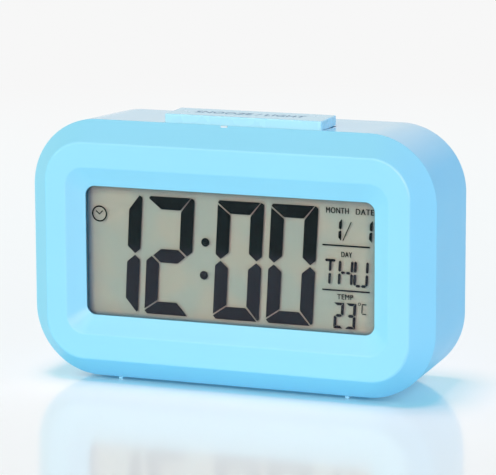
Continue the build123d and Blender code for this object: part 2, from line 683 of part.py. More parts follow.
# Return springs round the stems, each one unbroken helix between its cup and the bar
for side, name in ((-1, "left"), (1, "right")):
    rise = BAR_BOTTOM - CUP_BOTTOM - SPRING_WIRE - 2 * SHANK_GAP
    foot = at(BAR_X + side * STEM_X, BAR_MID, CUP_BOTTOM + SPRING_WIRE / 2 + SHANK_GAP)
    with BuildPart() as spring:
        with BuildLine() as coil:
            Helix(rise / SPRING_TURNS, rise, SPRING_R, center=foot)
        with BuildSketch(Plane(coil.line @ 0, z_dir=coil.line % 0)):
            Circle(SPRING_WIRE / 2)
        sweep(is_frenet=True)
    spring.part.label = f"snooze_spring_{name}"
    export_step(spring.part, f"parts/snooze_spring_{name}.step")
    print(f"snooze spring {name}: least gap {least_gap(coil.line, SPRING_WIRE, SPRING_TURNS):.2f} mm")

# Lens over the window
with BuildPart() as display_lens:
    with BuildSketch(front_plane(LENS_FRONT + LENS_T)):
        RectangleRounded(LENS_W, LENS_H, LENS_R)
    extrude(amount=LENS_T)
    fillet(display_lens.faces().sort_by(Axis.Y)[0].edges(), LENS_ROUND)
display_lens.part.label = "display_lens"
export_step(display_lens.part, "parts/display_lens.step")

# Display cell: film, front glass with a contact ledge below, rear glass, film
with BuildPart() as front_polarizer:
    with BuildSketch(front_plane(FRONT_GLASS)):
        Rectangle(WINDOW_W + 2 * FILM_MARGIN, WINDOW_H + 2 * FILM_MARGIN)
    extrude(amount=FILM_T)
front_polarizer.part.label = "front_polarizer"
export_step(front_polarizer.part, "parts/front_polarizer.step")

with BuildPart() as lcd_front_glass:
    with BuildSketch(front_plane(REAR_GLASS, height=GLASS_H / 2)):
        Rectangle(GLASS_W, GLASS_H + LEDGE_H, align=(Align.CENTER, Align.MAX))
    extrude(amount=GLASS_T)
    chamfer(lcd_front_glass.edges().filter_by(Axis.Y), GLASS_T / 2)
lcd_front_glass.part.label = "lcd_front_glass"
export_step(lcd_front_glass.part, "parts/lcd_front_glass.step")

with BuildPart() as lcd_rear_glass:
    with BuildSketch(front_plane(REAR_FILM)):
        Rectangle(GLASS_W, GLASS_H)
    extrude(amount=GLASS_T)
    chamfer(lcd_rear_glass.edges().filter_by(Axis.Y), GLASS_T / 2)
lcd_rear_glass.part.label = "lcd_rear_glass"
export_step(lcd_rear_glass.part, "parts/lcd_rear_glass.step")

with BuildPart() as reflector_film:
    with BuildSketch(front_plane(GUIDE_FRONT)):
        Rectangle(WINDOW_W + 2 * FILM_MARGIN, WINDOW_H + 2 * FILM_MARGIN)
    extrude(amount=FILM_T)
reflector_film.part.label = "reflector_film"
export_step(reflector_film.part, "parts/reflector_film.step")

# Light guide with an LED at each end
with BuildPart() as light_guide:
    with BuildSketch(front_plane(GUIDE_FRONT + GUIDE_T)):
        Rectangle(WINDOW_W + 2 * GUIDE_MARGIN, WINDOW_H + 2 * GUIDE_MARGIN)
    extrude(amount=GUIDE_T)
    chamfer(light_guide.faces().sort_by(Axis.Y)[-1].edges(), GUIDE_MARGIN / 2)
light_guide.part.label = "light_guide"
export_step(light_guide.part, "parts/light_guide.step")

for side, name in ((-1, "left"), (1, "right")):
    x = side * (WINDOW_W / 2 + GUIDE_MARGIN + STACK_GAP + LED_W / 2)
    with BuildPart() as led:
        with BuildSketch(front_plane(GUIDE_FRONT + GUIDE_T, x)):
            Rectangle(LED_W, LED_H)
        extrude(amount=LED_T)
        with BuildSketch(front_plane(BOARD_FRONT, x)):
            with GridLocations(0, LED_H / 2, 1, 2):
                Rectangle(LED_W / 2, LED_W / 2)
        extrude(amount=BOARD_FRONT - GUIDE_FRONT - GUIDE_T)
        fillet(led.edges().filter_by(Axis.Y).group_by(Axis.Z)[-1], LED_ROUND)
    led.part.label = f"backlight_led_{name}"
    export_step(led.part, f"parts/backlight_led_{name}.step")

# Frame that carries the display, with a ledge behind the light guide and a slot for the connector
with BuildPart() as lcd_frame:
    with BuildSketch(front_plane(BOARD_FRONT, height=GLASS_H / 2 + FRAME_GAP + FRAME_WALL)):
        Rectangle(FRAME_W, FRAME_H, align=(Align.CENTER, Align.MAX))
    extrude(amount=BOARD_FRONT - COLLAR_BACK)
    fillet(lcd_frame.edges().filter_by(Axis.Y), FRAME_WALL)
    with BuildSketch(front_plane(GUIDE_FRONT + GUIDE_T, height=GLASS_H / 2 + FRAME_GAP)):
        Rectangle(
            GLASS_W + 2 * FRAME_GAP, GLASS_H + LEDGE_H + 2 * FRAME_GAP, align=(Align.CENTER, Align.MAX)
        )
    extrude(amount=GUIDE_FRONT + GUIDE_T - COLLAR_BACK, mode=Mode.SUBTRACT)
    with BuildSketch(front_plane(BOARD_FRONT)):
        Rectangle(WINDOW_W - 2 * FRAME_LEDGE, WINDOW_H - 2 * FRAME_LEDGE)
        led_x = WINDOW_W / 2 + GUIDE_MARGIN + STACK_GAP + LED_W / 2
        with GridLocations(2 * led_x, 0, 2, 1):
            Rectangle(LED_W, LED_H)
        with Locations((0, -GLASS_H / 2 - LEDGE_H / 2)):
            Rectangle(GLASS_W - 2 * FRAME_LEDGE, ZEBRA_T + 2 * STACK_GAP)
    extrude(amount=BOARD_FRONT - GUIDE_FRONT - GUIDE_T, mode=Mode.SUBTRACT)
lcd_frame.part.label = "lcd_frame"
export_step(lcd_frame.part, "parts/lcd_frame.step")

# Striped rubber connector between the glass ledge and the board
with BuildPart() as zebra_connector:
    with BuildSketch(front_plane(BOARD_FRONT, height=-GLASS_H / 2 - LEDGE_H / 2)):
        Rectangle(GLASS_W - 2 * FRAME_LEDGE - 2 * STACK_GAP, ZEBRA_T)
    extrude(amount=BOARD_FRONT - REAR_GLASS)
    fillet(zebra_connector.edges().filter_by(Axis.Y), ZEBRA_ROUND)
zebra_connector.part.label = "zebra_connector"
export_step(zebra_connector.part, "parts/zebra_connector.step")

# Main board with four ears
with BuildPart() as main_board:
    with BuildSketch(front_plane(BOARD_BACK)) as board_shape:
        with Locations((0, BOARD_TOP)):
            Rectangle(BOARD_W, BOARD_TOP - BOARD_BOTTOM, align=(Align.CENTER, Align.MAX))
        with GridLocations(2 * EAR_X, 2 * EAR_Z, 2, 2):
            Circle(EAR_R)
            Rectangle(2 * EAR_R, 2 * EAR_R)
        fillet(board_shape.vertices().group_by(Axis.X)[0], BOARD_R)
        fillet(board_shape.vertices().group_by(Axis.X)[-1], BOARD_R)
        with GridLocations(2 * EAR_X, 2 * EAR_Z, 2, 2):
            Circle(SMALL_SHANK_R + HEAD_GAP, mode=Mode.SUBTRACT)
    extrude(amount=BOARD_T)
main_board.part.label = "main_board"
export_step(main_board.part, "parts/main_board.step")

with BuildPart() as controller_chip:
    with BuildSketch(front_plane(BOARD_BACK + CHIP_H, CHIP_X, CHIP_Z)):
        Circle(CHIP_R)
    extrude(amount=CHIP_H)
    fillet(controller_chip.faces().sort_by(Axis.Y)[-1].edges(), CHIP_ROUND)
controller_chip.part.label = "controller_chip"
export_step(controller_chip.part, "parts/controller_chip.step")

with BuildPart() as quartz_crystal:
    with BuildSketch(level_plane(CRYSTAL_Z, CRYSTAL_X, BOARD_BACK + CRYSTAL_R)):
        Circle(CRYSTAL_R)
    extrude(amount=CRYSTAL_L)
    fillet(quartz_crystal.faces().sort_by(Axis.Z)[-1].edges(), CRYSTAL_ROUND)
    with BuildSketch(level_plane(CRYSTAL_Z, CRYSTAL_X, BOARD_BACK + CRYSTAL_R)):
        with GridLocations(CRYSTAL_R, 0, 2, 1):
            Rectangle(LEG_R, LEG_R)
    extrude(amount=-CRYSTAL_R)
quartz_crystal.part.label = "quartz_crystal"
export_step(quartz_crystal.part, "parts/quartz_crystal.step")

with BuildPart() as temperature_sensor:
    with BuildSketch(front_plane(BOARD_BACK + LEG_L, BEAD_X, BEAD_Z)):
        with GridLocations(LEG_PITCH, 0, 2, 1):
            Circle(LEG_R)
    extrude(amount=LEG_L)
    with BuildSketch(front_plane(BOARD_BACK + LEG_L + BEAD_L, BEAD_X, BEAD_Z)):
        SlotCenterToCenter(LEG_PITCH, 2 * BEAD_R)
    extrude(amount=BEAD_L)
    fillet(temperature_sensor.faces().sort_by(Axis.Y)[-1].edges(), BEAD_R / 2)
temperature_sensor.part.label = "temperature_sensor"
export_step(temperature_sensor.part, "parts/temperature_sensor.step")

# Light pipe from the rim down to the light sensor on the front of the board
with BuildPart() as sensor_light_pipe:
    with BuildSketch(side_plane(SENSOR_X - PIPE_W / 2, PIPE_FRONT + PIPE_GAP, HEIGHT / 2 - PIPE_GAP)):
        reach = BOARD_FRONT - STACK_GAP - PIPE_FRONT - PIPE_GAP
        Rectangle(PIPE_T, HEIGHT / 2 - PIPE_GAP - PIPE_FOOT_Z, align=(Align.MIN, Align.MAX))
        with Locations((0, PIPE_FOOT_Z - HEIGHT / 2 + PIPE_GAP)):
            Rectangle(reach, PIPE_FOOT_T, align=Align.MIN)
    extrude(amount=PIPE_W)
sensor_light_pipe.part.label = "sensor_light_pipe"
export_step(sensor_light_pipe.part, "parts/sensor_light_pipe.step")

with BuildPart() as light_sensor:
    with BuildSketch(front_plane(BOARD_FRONT, SENSOR_X, BOARD_TOP - STACK_GAP)):
        Rectangle(SENSOR_W, SENSOR_H, align=(Align.CENTER, Align.MAX))
    extrude(amount=SENSOR_T)
    chamfer(light_sensor.faces().sort_by(Axis.Y)[0].edges(), SENSOR_BEVEL)
light_sensor.part.label = "light_sensor"
export_step(light_sensor.part, "parts/light_sensor.step")

# Switch under the snooze bar, lying on the back of the board with its plunger up
with BuildPart() as snooze_switch:
    with BuildSketch(level_plane(SNOOZE_TACT_TOP, BAR_X, SNOOZE_TACT_MID)):
        Rectangle(TACT_W, SNOOZE_TACT_T)
    extrude(amount=-SNOOZE_TACT_H)
    chamfer(snooze_switch.edges().filter_by(Axis.Z), TACT_GAP)
    with BuildSketch(level_plane(SNOOZE_TACT_TOP, BAR_X, SNOOZE_TACT_MID)):
        Circle(TACT_R + TACT_GAP)
    extrude(amount=-SNOOZE_TACT_H + TACT_R, mode=Mode.SUBTRACT)
snooze_switch.part.label = "snooze_switch"
export_step(snooze_switch.part, "parts/snooze_switch.step")

with BuildPart() as snooze_plunger:
    with BuildSketch(level_plane(PRESS_END, BAR_X, SNOOZE_TACT_MID)):
        Circle(TACT_R)
    extrude(amount=-SNOOZE_PROUD - SNOOZE_TACT_H + TACT_R + BAR_TRAVEL + TACT_GAP)
    fillet(snooze_plunger.faces().sort_by(Axis.Z)[-1].edges(), TACT_GAP)
snooze_plunger.part.label = "snooze_plunger"
export_step(snooze_plunger.part, "parts/snooze_plunger.step")

# Key board, and for each key a switch, its plunger and the key
with BuildPart() as key_board:
    with BuildSketch(front_plane(KEY_BOARD_BACK, height=KEY_Z)):
        RectangleRounded(KEY_BOARD_W, KEY_BOARD_H, BOARD_R)
        with GridLocations(2 * KEY_SCREW_X, 0, 2, 1):
            Circle(SMALL_SHANK_R + HEAD_GAP, mode=Mode.SUBTRACT)
    extrude(amount=KEY_BOARD_T)
key_board.part.label = "key_board"
export_step(key_board.part, "parts/key_board.step")

for name, x in zip(KEY_NAMES, KEY_XS):
    with BuildPart() as switch:
        with BuildSketch(front_plane(TACT_TOP, x, KEY_Z)):
            Rectangle(TACT_W, TACT_W)
        extrude(amount=TACT_H)
        chamfer(switch.edges().filter_by(Axis.Y), TACT_GAP)
        with BuildSketch(front_plane(TACT_TOP, x, KEY_Z)):
            Circle(TACT_R + TACT_GAP)
        extrude(amount=TACT_H - TACT_R / 2, mode=Mode.SUBTRACT)
    switch.part.label = f"{name}_switch"
    export_step(switch.part, f"parts/{name}_switch.step")

    with BuildPart() as plunger:
        with BuildSketch(front_plane(KEY_PLUNGER, x, KEY_Z)):
            Circle(TACT_R)
        extrude(amount=TACT_PROUD + TACT_H - TACT_R / 2 - KEY_TRAVEL - TACT_GAP)
        fillet(plunger.faces().sort_by(Axis.Y)[-1].edges(), TACT_GAP)
    plunger.part.label = f"{name}_plunger"
    export_step(plunger.part, f"parts/{name}_plunger.step")

    with BuildPart() as key:
        with BuildSketch(front_plane(FLANGE_BACK, x, KEY_Z)):
            RectangleRounded(KEY_W + 2 * KEY_FLANGE, KEY_H + 2 * KEY_FLANGE, KEY_R + KEY_FLANGE)
        extrude(amount=KEY_FLANGE_T)
        with BuildSketch(front_plane(PANEL_FLOOR + KEY_PROUD, x, KEY_Z)):
            RectangleRounded(KEY_W, KEY_H, KEY_R)
        extrude(amount=PANEL_FLOOR + KEY_PROUD - FLANGE_BACK)
        fillet(key.faces().sort_by(Axis.Y)[-1].edges(), KEY_GAP)
        with BuildSketch(front_plane(FLANGE_FRONT, x, KEY_Z)):
            Circle(KEY_STUB_R)
        extrude(amount=KEY_STUB_L)
    key.part.label = f"{name}_key"
    export_step(key.part, f"parts/{name}_key.step")

# Alarm slide switch and its knob
with BuildPart() as slide_switch:
    with BuildSketch(front_plane(KEY_BOARD_BACK + SLIDE_BODY_T, SLIDE_X + SLIDE_TRAVEL / 2, KEY_Z)):
        Rectangle(SLIDE_BODY_W, SLIDE_BODY_H)
    extrude(amount=SLIDE_BODY_T)
    with BuildSketch(front_plane(KEY_BOARD_BACK + SLIDE_BODY_T, SLIDE_X + SLIDE_TRAVEL / 2, KEY_Z)):
        Rectangle(POST_SIDE + SLIDE_TRAVEL + 2 * KEY_GAP, POST_SIDE + 2 * KEY_GAP)
    extrude(amount=SLIDE_BODY_T - TACT_R / 2, mode=Mode.SUBTRACT)
slide_switch.part.label = "slide_switch"
export_step(slide_switch.part, "parts/slide_switch.step")

with BuildPart() as slide_actuator:
    with BuildSketch(front_plane(FLANGE_FRONT + SOCKET_DEEP, SLIDE_X, KEY_Z)):
        Rectangle(POST_SIDE, POST_SIDE)
    extrude(amount=FLANGE_FRONT + SOCKET_DEEP - KEY_BOARD_BACK - TACT_R / 2 - TACT_GAP)
    chamfer(slide_actuator.faces().sort_by(Axis.Y)[-1].edges(), KEY_GAP)
slide_actuator.part.label = "slide_actuator"
export_step(slide_actuator.part, "parts/slide_actuator.step")

with BuildPart() as alarm_knob:
    with BuildSketch(front_plane(FLANGE_BACK, SLIDE_X, KEY_Z)):
        Rectangle(KNOB_FLANGE_W, KNOB_FLANGE_H)
    extrude(amount=KEY_FLANGE_T)
    with BuildSketch(front_plane(PANEL_FLOOR + KEY_PROUD, SLIDE_X, KEY_Z)):
        Rectangle(KNOB_W, KNOB_H)
    extrude(amount=PANEL_FLOOR + KEY_PROUD - FLANGE_BACK)
    chamfer(alarm_knob.faces().sort_by(Axis.Y)[-1].edges(), KEY_GAP)
    with BuildSketch(front_plane(PANEL_FLOOR + KEY_PROUD, SLIDE_X, KEY_Z)):
        with GridLocations(GROOVE_STEP, 0, 3, 1):
            Rectangle(GROOVE_W, KNOB_H)
    extrude(amount=KEY_GAP, mode=Mode.SUBTRACT)
    with BuildSketch(front_plane(FLANGE_FRONT + SOCKET_DEEP + TACT_GAP, SLIDE_X, KEY_Z)):
        Rectangle(POST_SIDE + 2 * TACT_GAP, POST_SIDE + 2 * TACT_GAP)
    extrude(amount=SOCKET_DEEP + TACT_GAP, mode=Mode.SUBTRACT)
alarm_knob.part.label = "alarm_knob"
export_step(alarm_knob.part, "parts/alarm_knob.step")

# Battery door, its lower edge rounded about the hinge and a pin at each end of it
with BuildPart() as battery_door:
    with BuildSketch(side_plane(-DOOR_W / 2, HINGE_DEPTH, HINGE_Z)):
        Circle(DOOR_T / 2)
        Rectangle(DOOR_T, DOOR_H - DOOR_T / 2, align=(Align.CENTER, Align.MIN))
    extrude(amount=DOOR_W)
    with BuildSketch(side_plane(-DOOR_W / 2 - PIN_L, HINGE_DEPTH, HINGE_Z)):
        Circle(PIN_R)
    extrude(amount=DOOR_W + 2 * PIN_L)
    with BuildSketch(front_plane(DEPTH, height=BAY_Z + DOOR_H / 2 - GRIP_COUNT * GRIP_PITCH)):
        with GridLocations(0, GRIP_PITCH, 1, GRIP_COUNT):
            SlotOverall(GRIP_W, GRIP_H)
    extrude(amount=GRIP_DEEP, mode=Mode.SUBTRACT)
battery_door.part.label = "battery_door"
export_step(battery_door.part, "parts/battery_door.step")

# Cells in series, so each lies the other way round from its neighbour
for name, row, nub in (("upper", 1, -1), ("middle", 0, 1), ("lower", -1, -1)):
    start = nub * (BAY_W / 2 - PLATE_T - DIMPLE_H)
    with BuildPart() as cell:
        with BuildSketch(side_plane(start, CELL_DEPTH, BAY_Z + row * CELL_STEP)):
            Circle(NUB_R)
        extrude(amount=-nub * CELL_L)
        with BuildSketch(side_plane(start - nub * NUB_L, CELL_DEPTH, BAY_Z + row * CELL_STEP)):
            Circle(CELL_R)
        extrude(amount=-nub * (CELL_L - NUB_L - DIMPLE_H / 2))
        fillet(cell.edges().filter_by(GeomType.CIRCLE).sort_by(SortBy.RADIUS)[-2:], CELL_ROUND)
    cell.part.label = f"cell_{name}"
    export_step(cell.part, f"parts/cell_{name}.step")


def contact(side, flat_row, coil_row, tab_row):
    """Sheet contact on one end wall of the bay, with a dimple for a cell's nub and a tab."""
    rows = [row for row in (flat_row, coil_row) if row is not None]
    middle = sum(rows) / len(rows)
    height = PLATE_W + (len(rows) - 1) * CELL_STEP
    plate_depth = CELL_DEPTH - BAY_FLOOR
    with BuildPart() as plate:
        with BuildSketch(side_plane(side * BAY_W / 2, BAY_FLOOR, BAY_Z + middle * CELL_STEP)):
            with Locations((plate_depth + PLATE_W / 2, 0)):
                Rectangle(plate_depth + PLATE_W / 2, height, align=(Align.MAX, Align.CENTER))
        extrude(amount=-side * PLATE_T)
        fillet(plate.edges().filter_by(Axis.X).group_by(Axis.Y)[-1], PLATE_ROUND)
        if flat_row is not None:
            spot = side_plane(
                side * (BAY_W / 2 - PLATE_T), CELL_DEPTH, BAY_Z + flat_row * CELL_STEP
            )
            with BuildSketch(spot):
                Circle(DIMPLE_R)
            extrude(amount=-side * (DIMPLE_H - TACT_GAP))
        if tab_row is not None:
            with BuildSketch(side_plane(side * BAY_W / 2, BAY_FLOOR, BAY_Z + tab_row * CELL_STEP)):
                Rectangle(BAY_FLOOR_T + TAB_L, TAB_W, align=(Align.MAX, Align.CENTER))
            extrude(amount=-side * PLATE_T)
    return plate.part


for name, layout in (
    ("positive", (-1, 1, None, 1)),
    ("negative", (1, None, -1, -1)),
    ("right_bridge", (1, 0, 1, None)),
    ("left_bridge", (-1, -1, 0, None)),
):
    plate = contact(*layout)
    plate.label = f"contact_{name}"
    export_step(plate, f"parts/contact_{name}.step")

# Contact springs, one unbroken helix between each negative plate and its cell
with BuildPart() as battery_springs:
    rise = COIL_L + DIMPLE_H / 2 - COIL_WIRE - 2 * SHANK_GAP
    for side, row in ((1, 1), (-1, 0), (1, -1)):
        seat = side * (BAY_W / 2 - PLATE_T - COIL_WIRE / 2 - SHANK_GAP)
        with BuildLine() as coil:
            Helix(
                rise / COIL_TURNS, rise, COIL_R, direction=(-side, 0, 0),
                center=at(seat, CELL_DEPTH, BAY_Z + row * CELL_STEP),
            )
        with BuildSketch(Plane(coil.line @ 0, z_dir=coil.line % 0)):
            Circle(COIL_WIRE / 2)
        sweep(is_frenet=True)
battery_springs.part.label = "battery_springs"
export_step(battery_springs.part, "parts/battery_springs.step")
print(f"battery springs: least gap {least_gap(coil.line, COIL_WIRE, COIL_TURNS):.2f} mm")

# Buzzer in its ring
with BuildPart() as buzzer:
    with BuildSketch(front_plane(DEPTH - SHELL_WALL, BUZZER_X, BUZZER_Z)):
        Circle(BUZZER_R)
    extrude(amount=BUZZER_T)
    fillet(buzzer.faces().sort_by(Axis.Y)[0].edges(), BUZZER_ROUND)
    with BuildSketch(front_plane(DEPTH - SHELL_WALL, BUZZER_X, BUZZER_Z)):
        Circle(BUZZER_HOLE_R)
    extrude(amount=BUZZER_HOLE_DEEP, mode=Mode.SUBTRACT)
buzzer.part.label = "buzzer"
export_step(buzzer.part, "parts/buzzer.step")


def wire(points):
    """Round wire along straight runs joined by arcs as large as the runs allow."""
    corners = zip(points, points[1:], points[2:])
    radii = []
    for before, corner, after in corners:
        run_in = Vector(*corner) - Vector(*before)
        run_out = Vector(*after) - Vector(*corner)
        turn = run_in.get_angle(run_out)
        radii.append(BEND_SHARE * min(run_in.length, run_out.length) / tan(radians(turn / 2)))
    print("wire bend radii", [round(radius, 1) for radius in radii])
    with BuildPart() as tube:
        with BuildLine() as route:
            FilletPolyline(*points, radius=radii)
        with BuildSketch(Plane(route.line @ 0, z_dir=route.line % 0)):
            Circle(WIRE_R)
        sweep()
    return tube.part


# Battery leads from the solder tabs to the main board
for name, side, row in (("positive", -1, 1), ("negative", 1, -1)):
    x = side * (BAY_W - PLATE_T) / 2
    start = BAY_FLOOR - BAY_FLOOR_T - TAB_L - WIRE_GAP
    z = BAY_Z + row * CELL_STEP
    points = [
        at(x, start, z),
        at(x, start - WIRE_BEND_IN, z),
        at(x + side * LEAD_SHIFT, BOARD_BACK + WIRE_BEND_IN, z),
        at(x + side * LEAD_SHIFT, BOARD_BACK + WIRE_GAP, z),
    ]
    lead = wire(points)
    lead.label = f"{name}_lead"
    export_step(lead, f"parts/{name}_lead.step")

with BuildPart() as buzzer_leads:
    for side in (-1, 1):
        x = BUZZER_X + side * BUZZER_WIRE_PITCH / 2
        start = DEPTH - SHELL_WALL - BUZZER_T - WIRE_GAP
        points = [
            at(x, start, BUZZER_Z),
            at(x, start - WIRE_BEND_IN, BUZZER_Z),
            at(x, BOARD_BACK + WIRE_BEND_IN, BUZZER_Z - LEAD_SHIFT),
            at(x, BOARD_BACK + WIRE_GAP, BUZZER_Z - LEAD_SHIFT),
        ]
        add(wire(points))
buzzer_leads.part.label = "buzzer_leads"
export_step(buzzer_leads.part, "parts/buzzer_leads.step")

# Ribbon between the two boards
with BuildPart() as ribbon_cable:
    with BuildSketch(side_plane(RIBBON_X - RIBBON_W / 2)) as band:
        with BuildLine() as route:
            FilletPolyline(
                (BOARD_BACK + WIRE_GAP, KEY_Z - RIBBON_DROP),
                (BOARD_BACK + WIRE_BEND_IN, KEY_Z - RIBBON_DROP),
                (KEY_BOARD_FRONT - WIRE_BEND_IN, KEY_Z),
                (KEY_BOARD_FRONT - WIRE_GAP, KEY_Z),
                radius=WIRE_BEND_IN,
            )
        trace(line_width=RIBBON_T)
    extrude(amount=RIBBON_W)
ribbon_cable.part.label = "ribbon_cable"
export_step(ribbon_cable.part, "parts/ribbon_cable.step")


def screw(shank_r, shank_l, head_r, head_h):
    """Pan head screw along +Y, with its head's seat at the origin, the shank ahead of it and a cross."""
    with BuildPart() as body:
        with BuildSketch(Plane.XZ):
            Circle(shank_r)
        extrude(amount=shank_l)
        chamfer(body.faces().sort_by(Axis.Y)[0].edges(), shank_r * TIP_SHARE)
        with BuildSketch(Plane.XZ):
            Circle(head_r)
        extrude(amount=-head_h)
        fillet(body.faces().sort_by(Axis.Y)[-1].edges(), head_h * HEAD_ROUND_SHARE)
        with BuildSketch(Plane.XZ.offset(-head_h)):
            Rectangle(head_r * CROSS_L_SHARE, head_r * CROSS_W_SHARE)
            Rectangle(head_r * CROSS_W_SHARE, head_r * CROSS_L_SHARE)
        extrude(amount=head_h * CROSS_DEEP_SHARE, mode=Mode.SUBTRACT)
    return body.part


with BuildPart() as case_screws:
    seat = front_plane(TUNNEL_SEAT).origin
    with Locations(seat):
        with Locations(*((x, 0, z) for x in (-POST_X, POST_X) for z in (-POST_Z, POST_Z))):
            add(screw(SHANK_R, SHANK_L, HEAD_R, HEAD_H))
case_screws.part.label = "case_screws"
export_step(case_screws.part, "parts/case_screws.step")

with BuildPart() as board_screws:
    seat = front_plane(BOARD_BACK).origin
    with Locations(seat):
        with Locations(*((x, 0, z) for x in (-EAR_X, EAR_X) for z in (-EAR_Z, EAR_Z))):
            add(screw(SMALL_SHANK_R, SMALL_SHANK_L, SMALL_HEAD_R, SMALL_HEAD_H))
board_screws.part.label = "board_screws"
export_step(board_screws.part, "parts/board_screws.step")

with BuildPart() as key_board_screws:
    seat = front_plane(KEY_BOARD_FRONT, height=KEY_Z).origin
    with Locations(seat):
        with Locations(*(Location((x, 0, 0), (0, 0, 180)) for x in (-KEY_SCREW_X, KEY_SCREW_X))):
            add(screw(SMALL_SHANK_R, SMALL_SHANK_L, SMALL_HEAD_R, SMALL_HEAD_H))
key_board_screws.part.label = "key_board_screws"
export_step(key_board_screws.part, "parts/key_board_screws.step")
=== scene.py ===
# %% [markdown]
# # A digital alarm clock
# A pale blue clock stands on a glossy white table. Its case, bar, keys and inner parts come as a packed
# model that stays fixed. This lesson gives them their finishes, draws the display between its two
# glasses, letters the bar and the keys, and lights the whole as a small studio would.

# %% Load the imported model
import bmesh
import bpy
from math import cos, pi, radians, sin
from mathutils import Matrix, Quaternion, Vector


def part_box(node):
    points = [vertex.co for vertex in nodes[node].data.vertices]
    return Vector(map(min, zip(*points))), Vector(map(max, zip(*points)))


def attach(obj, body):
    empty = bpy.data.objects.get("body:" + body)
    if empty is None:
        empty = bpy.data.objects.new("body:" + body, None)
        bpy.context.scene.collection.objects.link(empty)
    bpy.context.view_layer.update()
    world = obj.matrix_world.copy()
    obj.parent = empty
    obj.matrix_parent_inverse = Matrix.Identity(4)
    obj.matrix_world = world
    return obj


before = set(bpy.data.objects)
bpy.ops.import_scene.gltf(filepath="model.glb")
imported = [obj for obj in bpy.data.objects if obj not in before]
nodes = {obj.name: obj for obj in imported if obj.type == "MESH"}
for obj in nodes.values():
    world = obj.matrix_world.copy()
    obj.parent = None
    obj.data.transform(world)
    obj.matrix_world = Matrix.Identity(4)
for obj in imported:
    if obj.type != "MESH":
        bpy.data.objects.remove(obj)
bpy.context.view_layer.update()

# %% [markdown]
# The model is in metres, but a clock is easier to think of in millimetres. A place on it is given as a
# distance to the right of the middle, a depth behind the front ridge, and a height above the middle of
# the face. Both starting points are read from the bezel, so nothing here is out of step with the model.

# %% Measure from the face
MM = 0.001
bezel_low, bezel_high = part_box("front_bezel")
FACE_Y = bezel_low.y
FACE_Z = (bezel_low.z + bezel_high.z) / 2


def spot(x, depth, height):
    """The point this far right, behind the front ridge and above the face's middle, in millimetres."""
    return Vector((x * MM, FACE_Y + depth * MM, FACE_Z + height * MM))


print("face's middle", [round(c * 1000, 2) for c in spot(0, 0, 0)])

# %% [markdown]
# The camera comes first, because every other choice is judged through it. It looks down a little and
# from the right, with a long lens from nearly a metre away, so that the clock's edges stay almost
# parallel. Its turn is built from yaw, pitch and a very small roll. The Standard view shows a colour
# about as it is written, where Blender's usual one would soften it.

# %% Camera
YAW, PITCH, ROLL = radians(20.70), radians(10.79), radians(-0.22)
DISTANCE = 897.3 * MM
PICTURE_WIDTH = 496
FOCAL_PIXELS = 2882.4
PICTURE_MIDDLE = spot(8.27, 0, 8.0)


def towards(azimuth, elevation):
    """Unit vector from the clock to something at this azimuth from the front and this elevation."""
    level = cos(elevation)
    return Vector((sin(azimuth) * level, -cos(azimuth) * level, sin(elevation)))


camera = bpy.data.objects.new("camera", bpy.data.cameras.new("camera"))
bpy.context.scene.collection.objects.link(camera)
bpy.context.scene.camera = camera
camera.data.lens = FOCAL_PIXELS * camera.data.sensor_width / PICTURE_WIDTH
camera.data.clip_start, camera.data.clip_end = 0.05, 50
back = towards(YAW, PITCH)
turn = (-back).to_track_quat("-Z", "Y") @ Quaternion((0, 0, 1), ROLL)
camera.matrix_world = Matrix.LocRotScale(PICTURE_MIDDLE + back * DISTANCE, turn, None)
bpy.context.scene.view_settings.view_transform = "Standard"
print("camera at", [round(c, 3) for c in camera.location], "lens", round(camera.data.lens, 1))

# %% [markdown]
# Every finish below is a small tree of shader nodes. Three helpers keep them readable: one turns
# the usual 0 to 255 colours into the light values that Blender wants, one adds a node and fills
# its inputs, and one starts a material. A value that is the same all over goes straight on the
# shader's own socket, and only what varies is wired.

# %% Helpers for materials
def colour(red, green, blue, share=1.0):
    """Linear colour for these sRGB values, made lighter or darker by a share."""
    channels = []
    for value in (red, green, blue):
        value /= 255
        linear = value / 12.92 if value <= 0.04045 else ((value + 0.055) / 1.055) ** 2.4
        channels.append(linear * share)
    return (*channels, 1.0)


def node(tree, kind, inputs=None, **settings):
    """Adds a node of this kind, with its settings, and inputs that are values or other sockets."""
    made = tree.nodes.new("ShaderNode" + kind)
    for name, value in settings.items():
        setattr(made, name, value)
    for name, value in (inputs or {}).items():
        if isinstance(value, bpy.types.NodeSocket):
            tree.links.new(value, made.inputs[name])
        else:
            made.inputs[name].default_value = value
    return made


def new_material(name, tint, roughness, **sockets):
    """A material with one Principled shader. Gives the material, its tree and the shader."""
    material = bpy.data.materials.new(name)
    material.use_nodes = True
    tree = material.node_tree
    shader = tree.nodes["Principled BSDF"]
    shader.inputs["Base Color"].default_value = tint
    shader.inputs["Roughness"].default_value = roughness
    for socket, value in sockets.items():
        shader.inputs[socket.replace("_", " ")].default_value = value
    return material, tree, shader


# %% [markdown]
# A pattern could be painted as an image and wrapped round a piece, but it would blur close up. Here it
# is worked out from the point on the piece instead, in metres, so it stays sharp at any size and moves
# with the part. Noise gives soft clouds, a little arithmetic gives edges and stripes, and two kinds of
# Mix node turn the result into a colour. A Mix node has its colours in sockets 6 and 7.

# %% Helpers for patterns
def place_on_piece(tree):
    """The point on the piece itself, in metres, which a pattern is drawn on."""
    return node(tree, "TexCoord").outputs["Object"]


def axes(tree):
    """The X, Y and Z of that point, each by its name."""
    return node(tree, "SeparateXYZ", {"Vector": place_on_piece(tree)}).outputs


def reckon(tree, operation, *values):
    """One step of arithmetic on numbers or sockets."""
    return node(tree, "Math", dict(enumerate(values)), operation=operation).outputs[0]


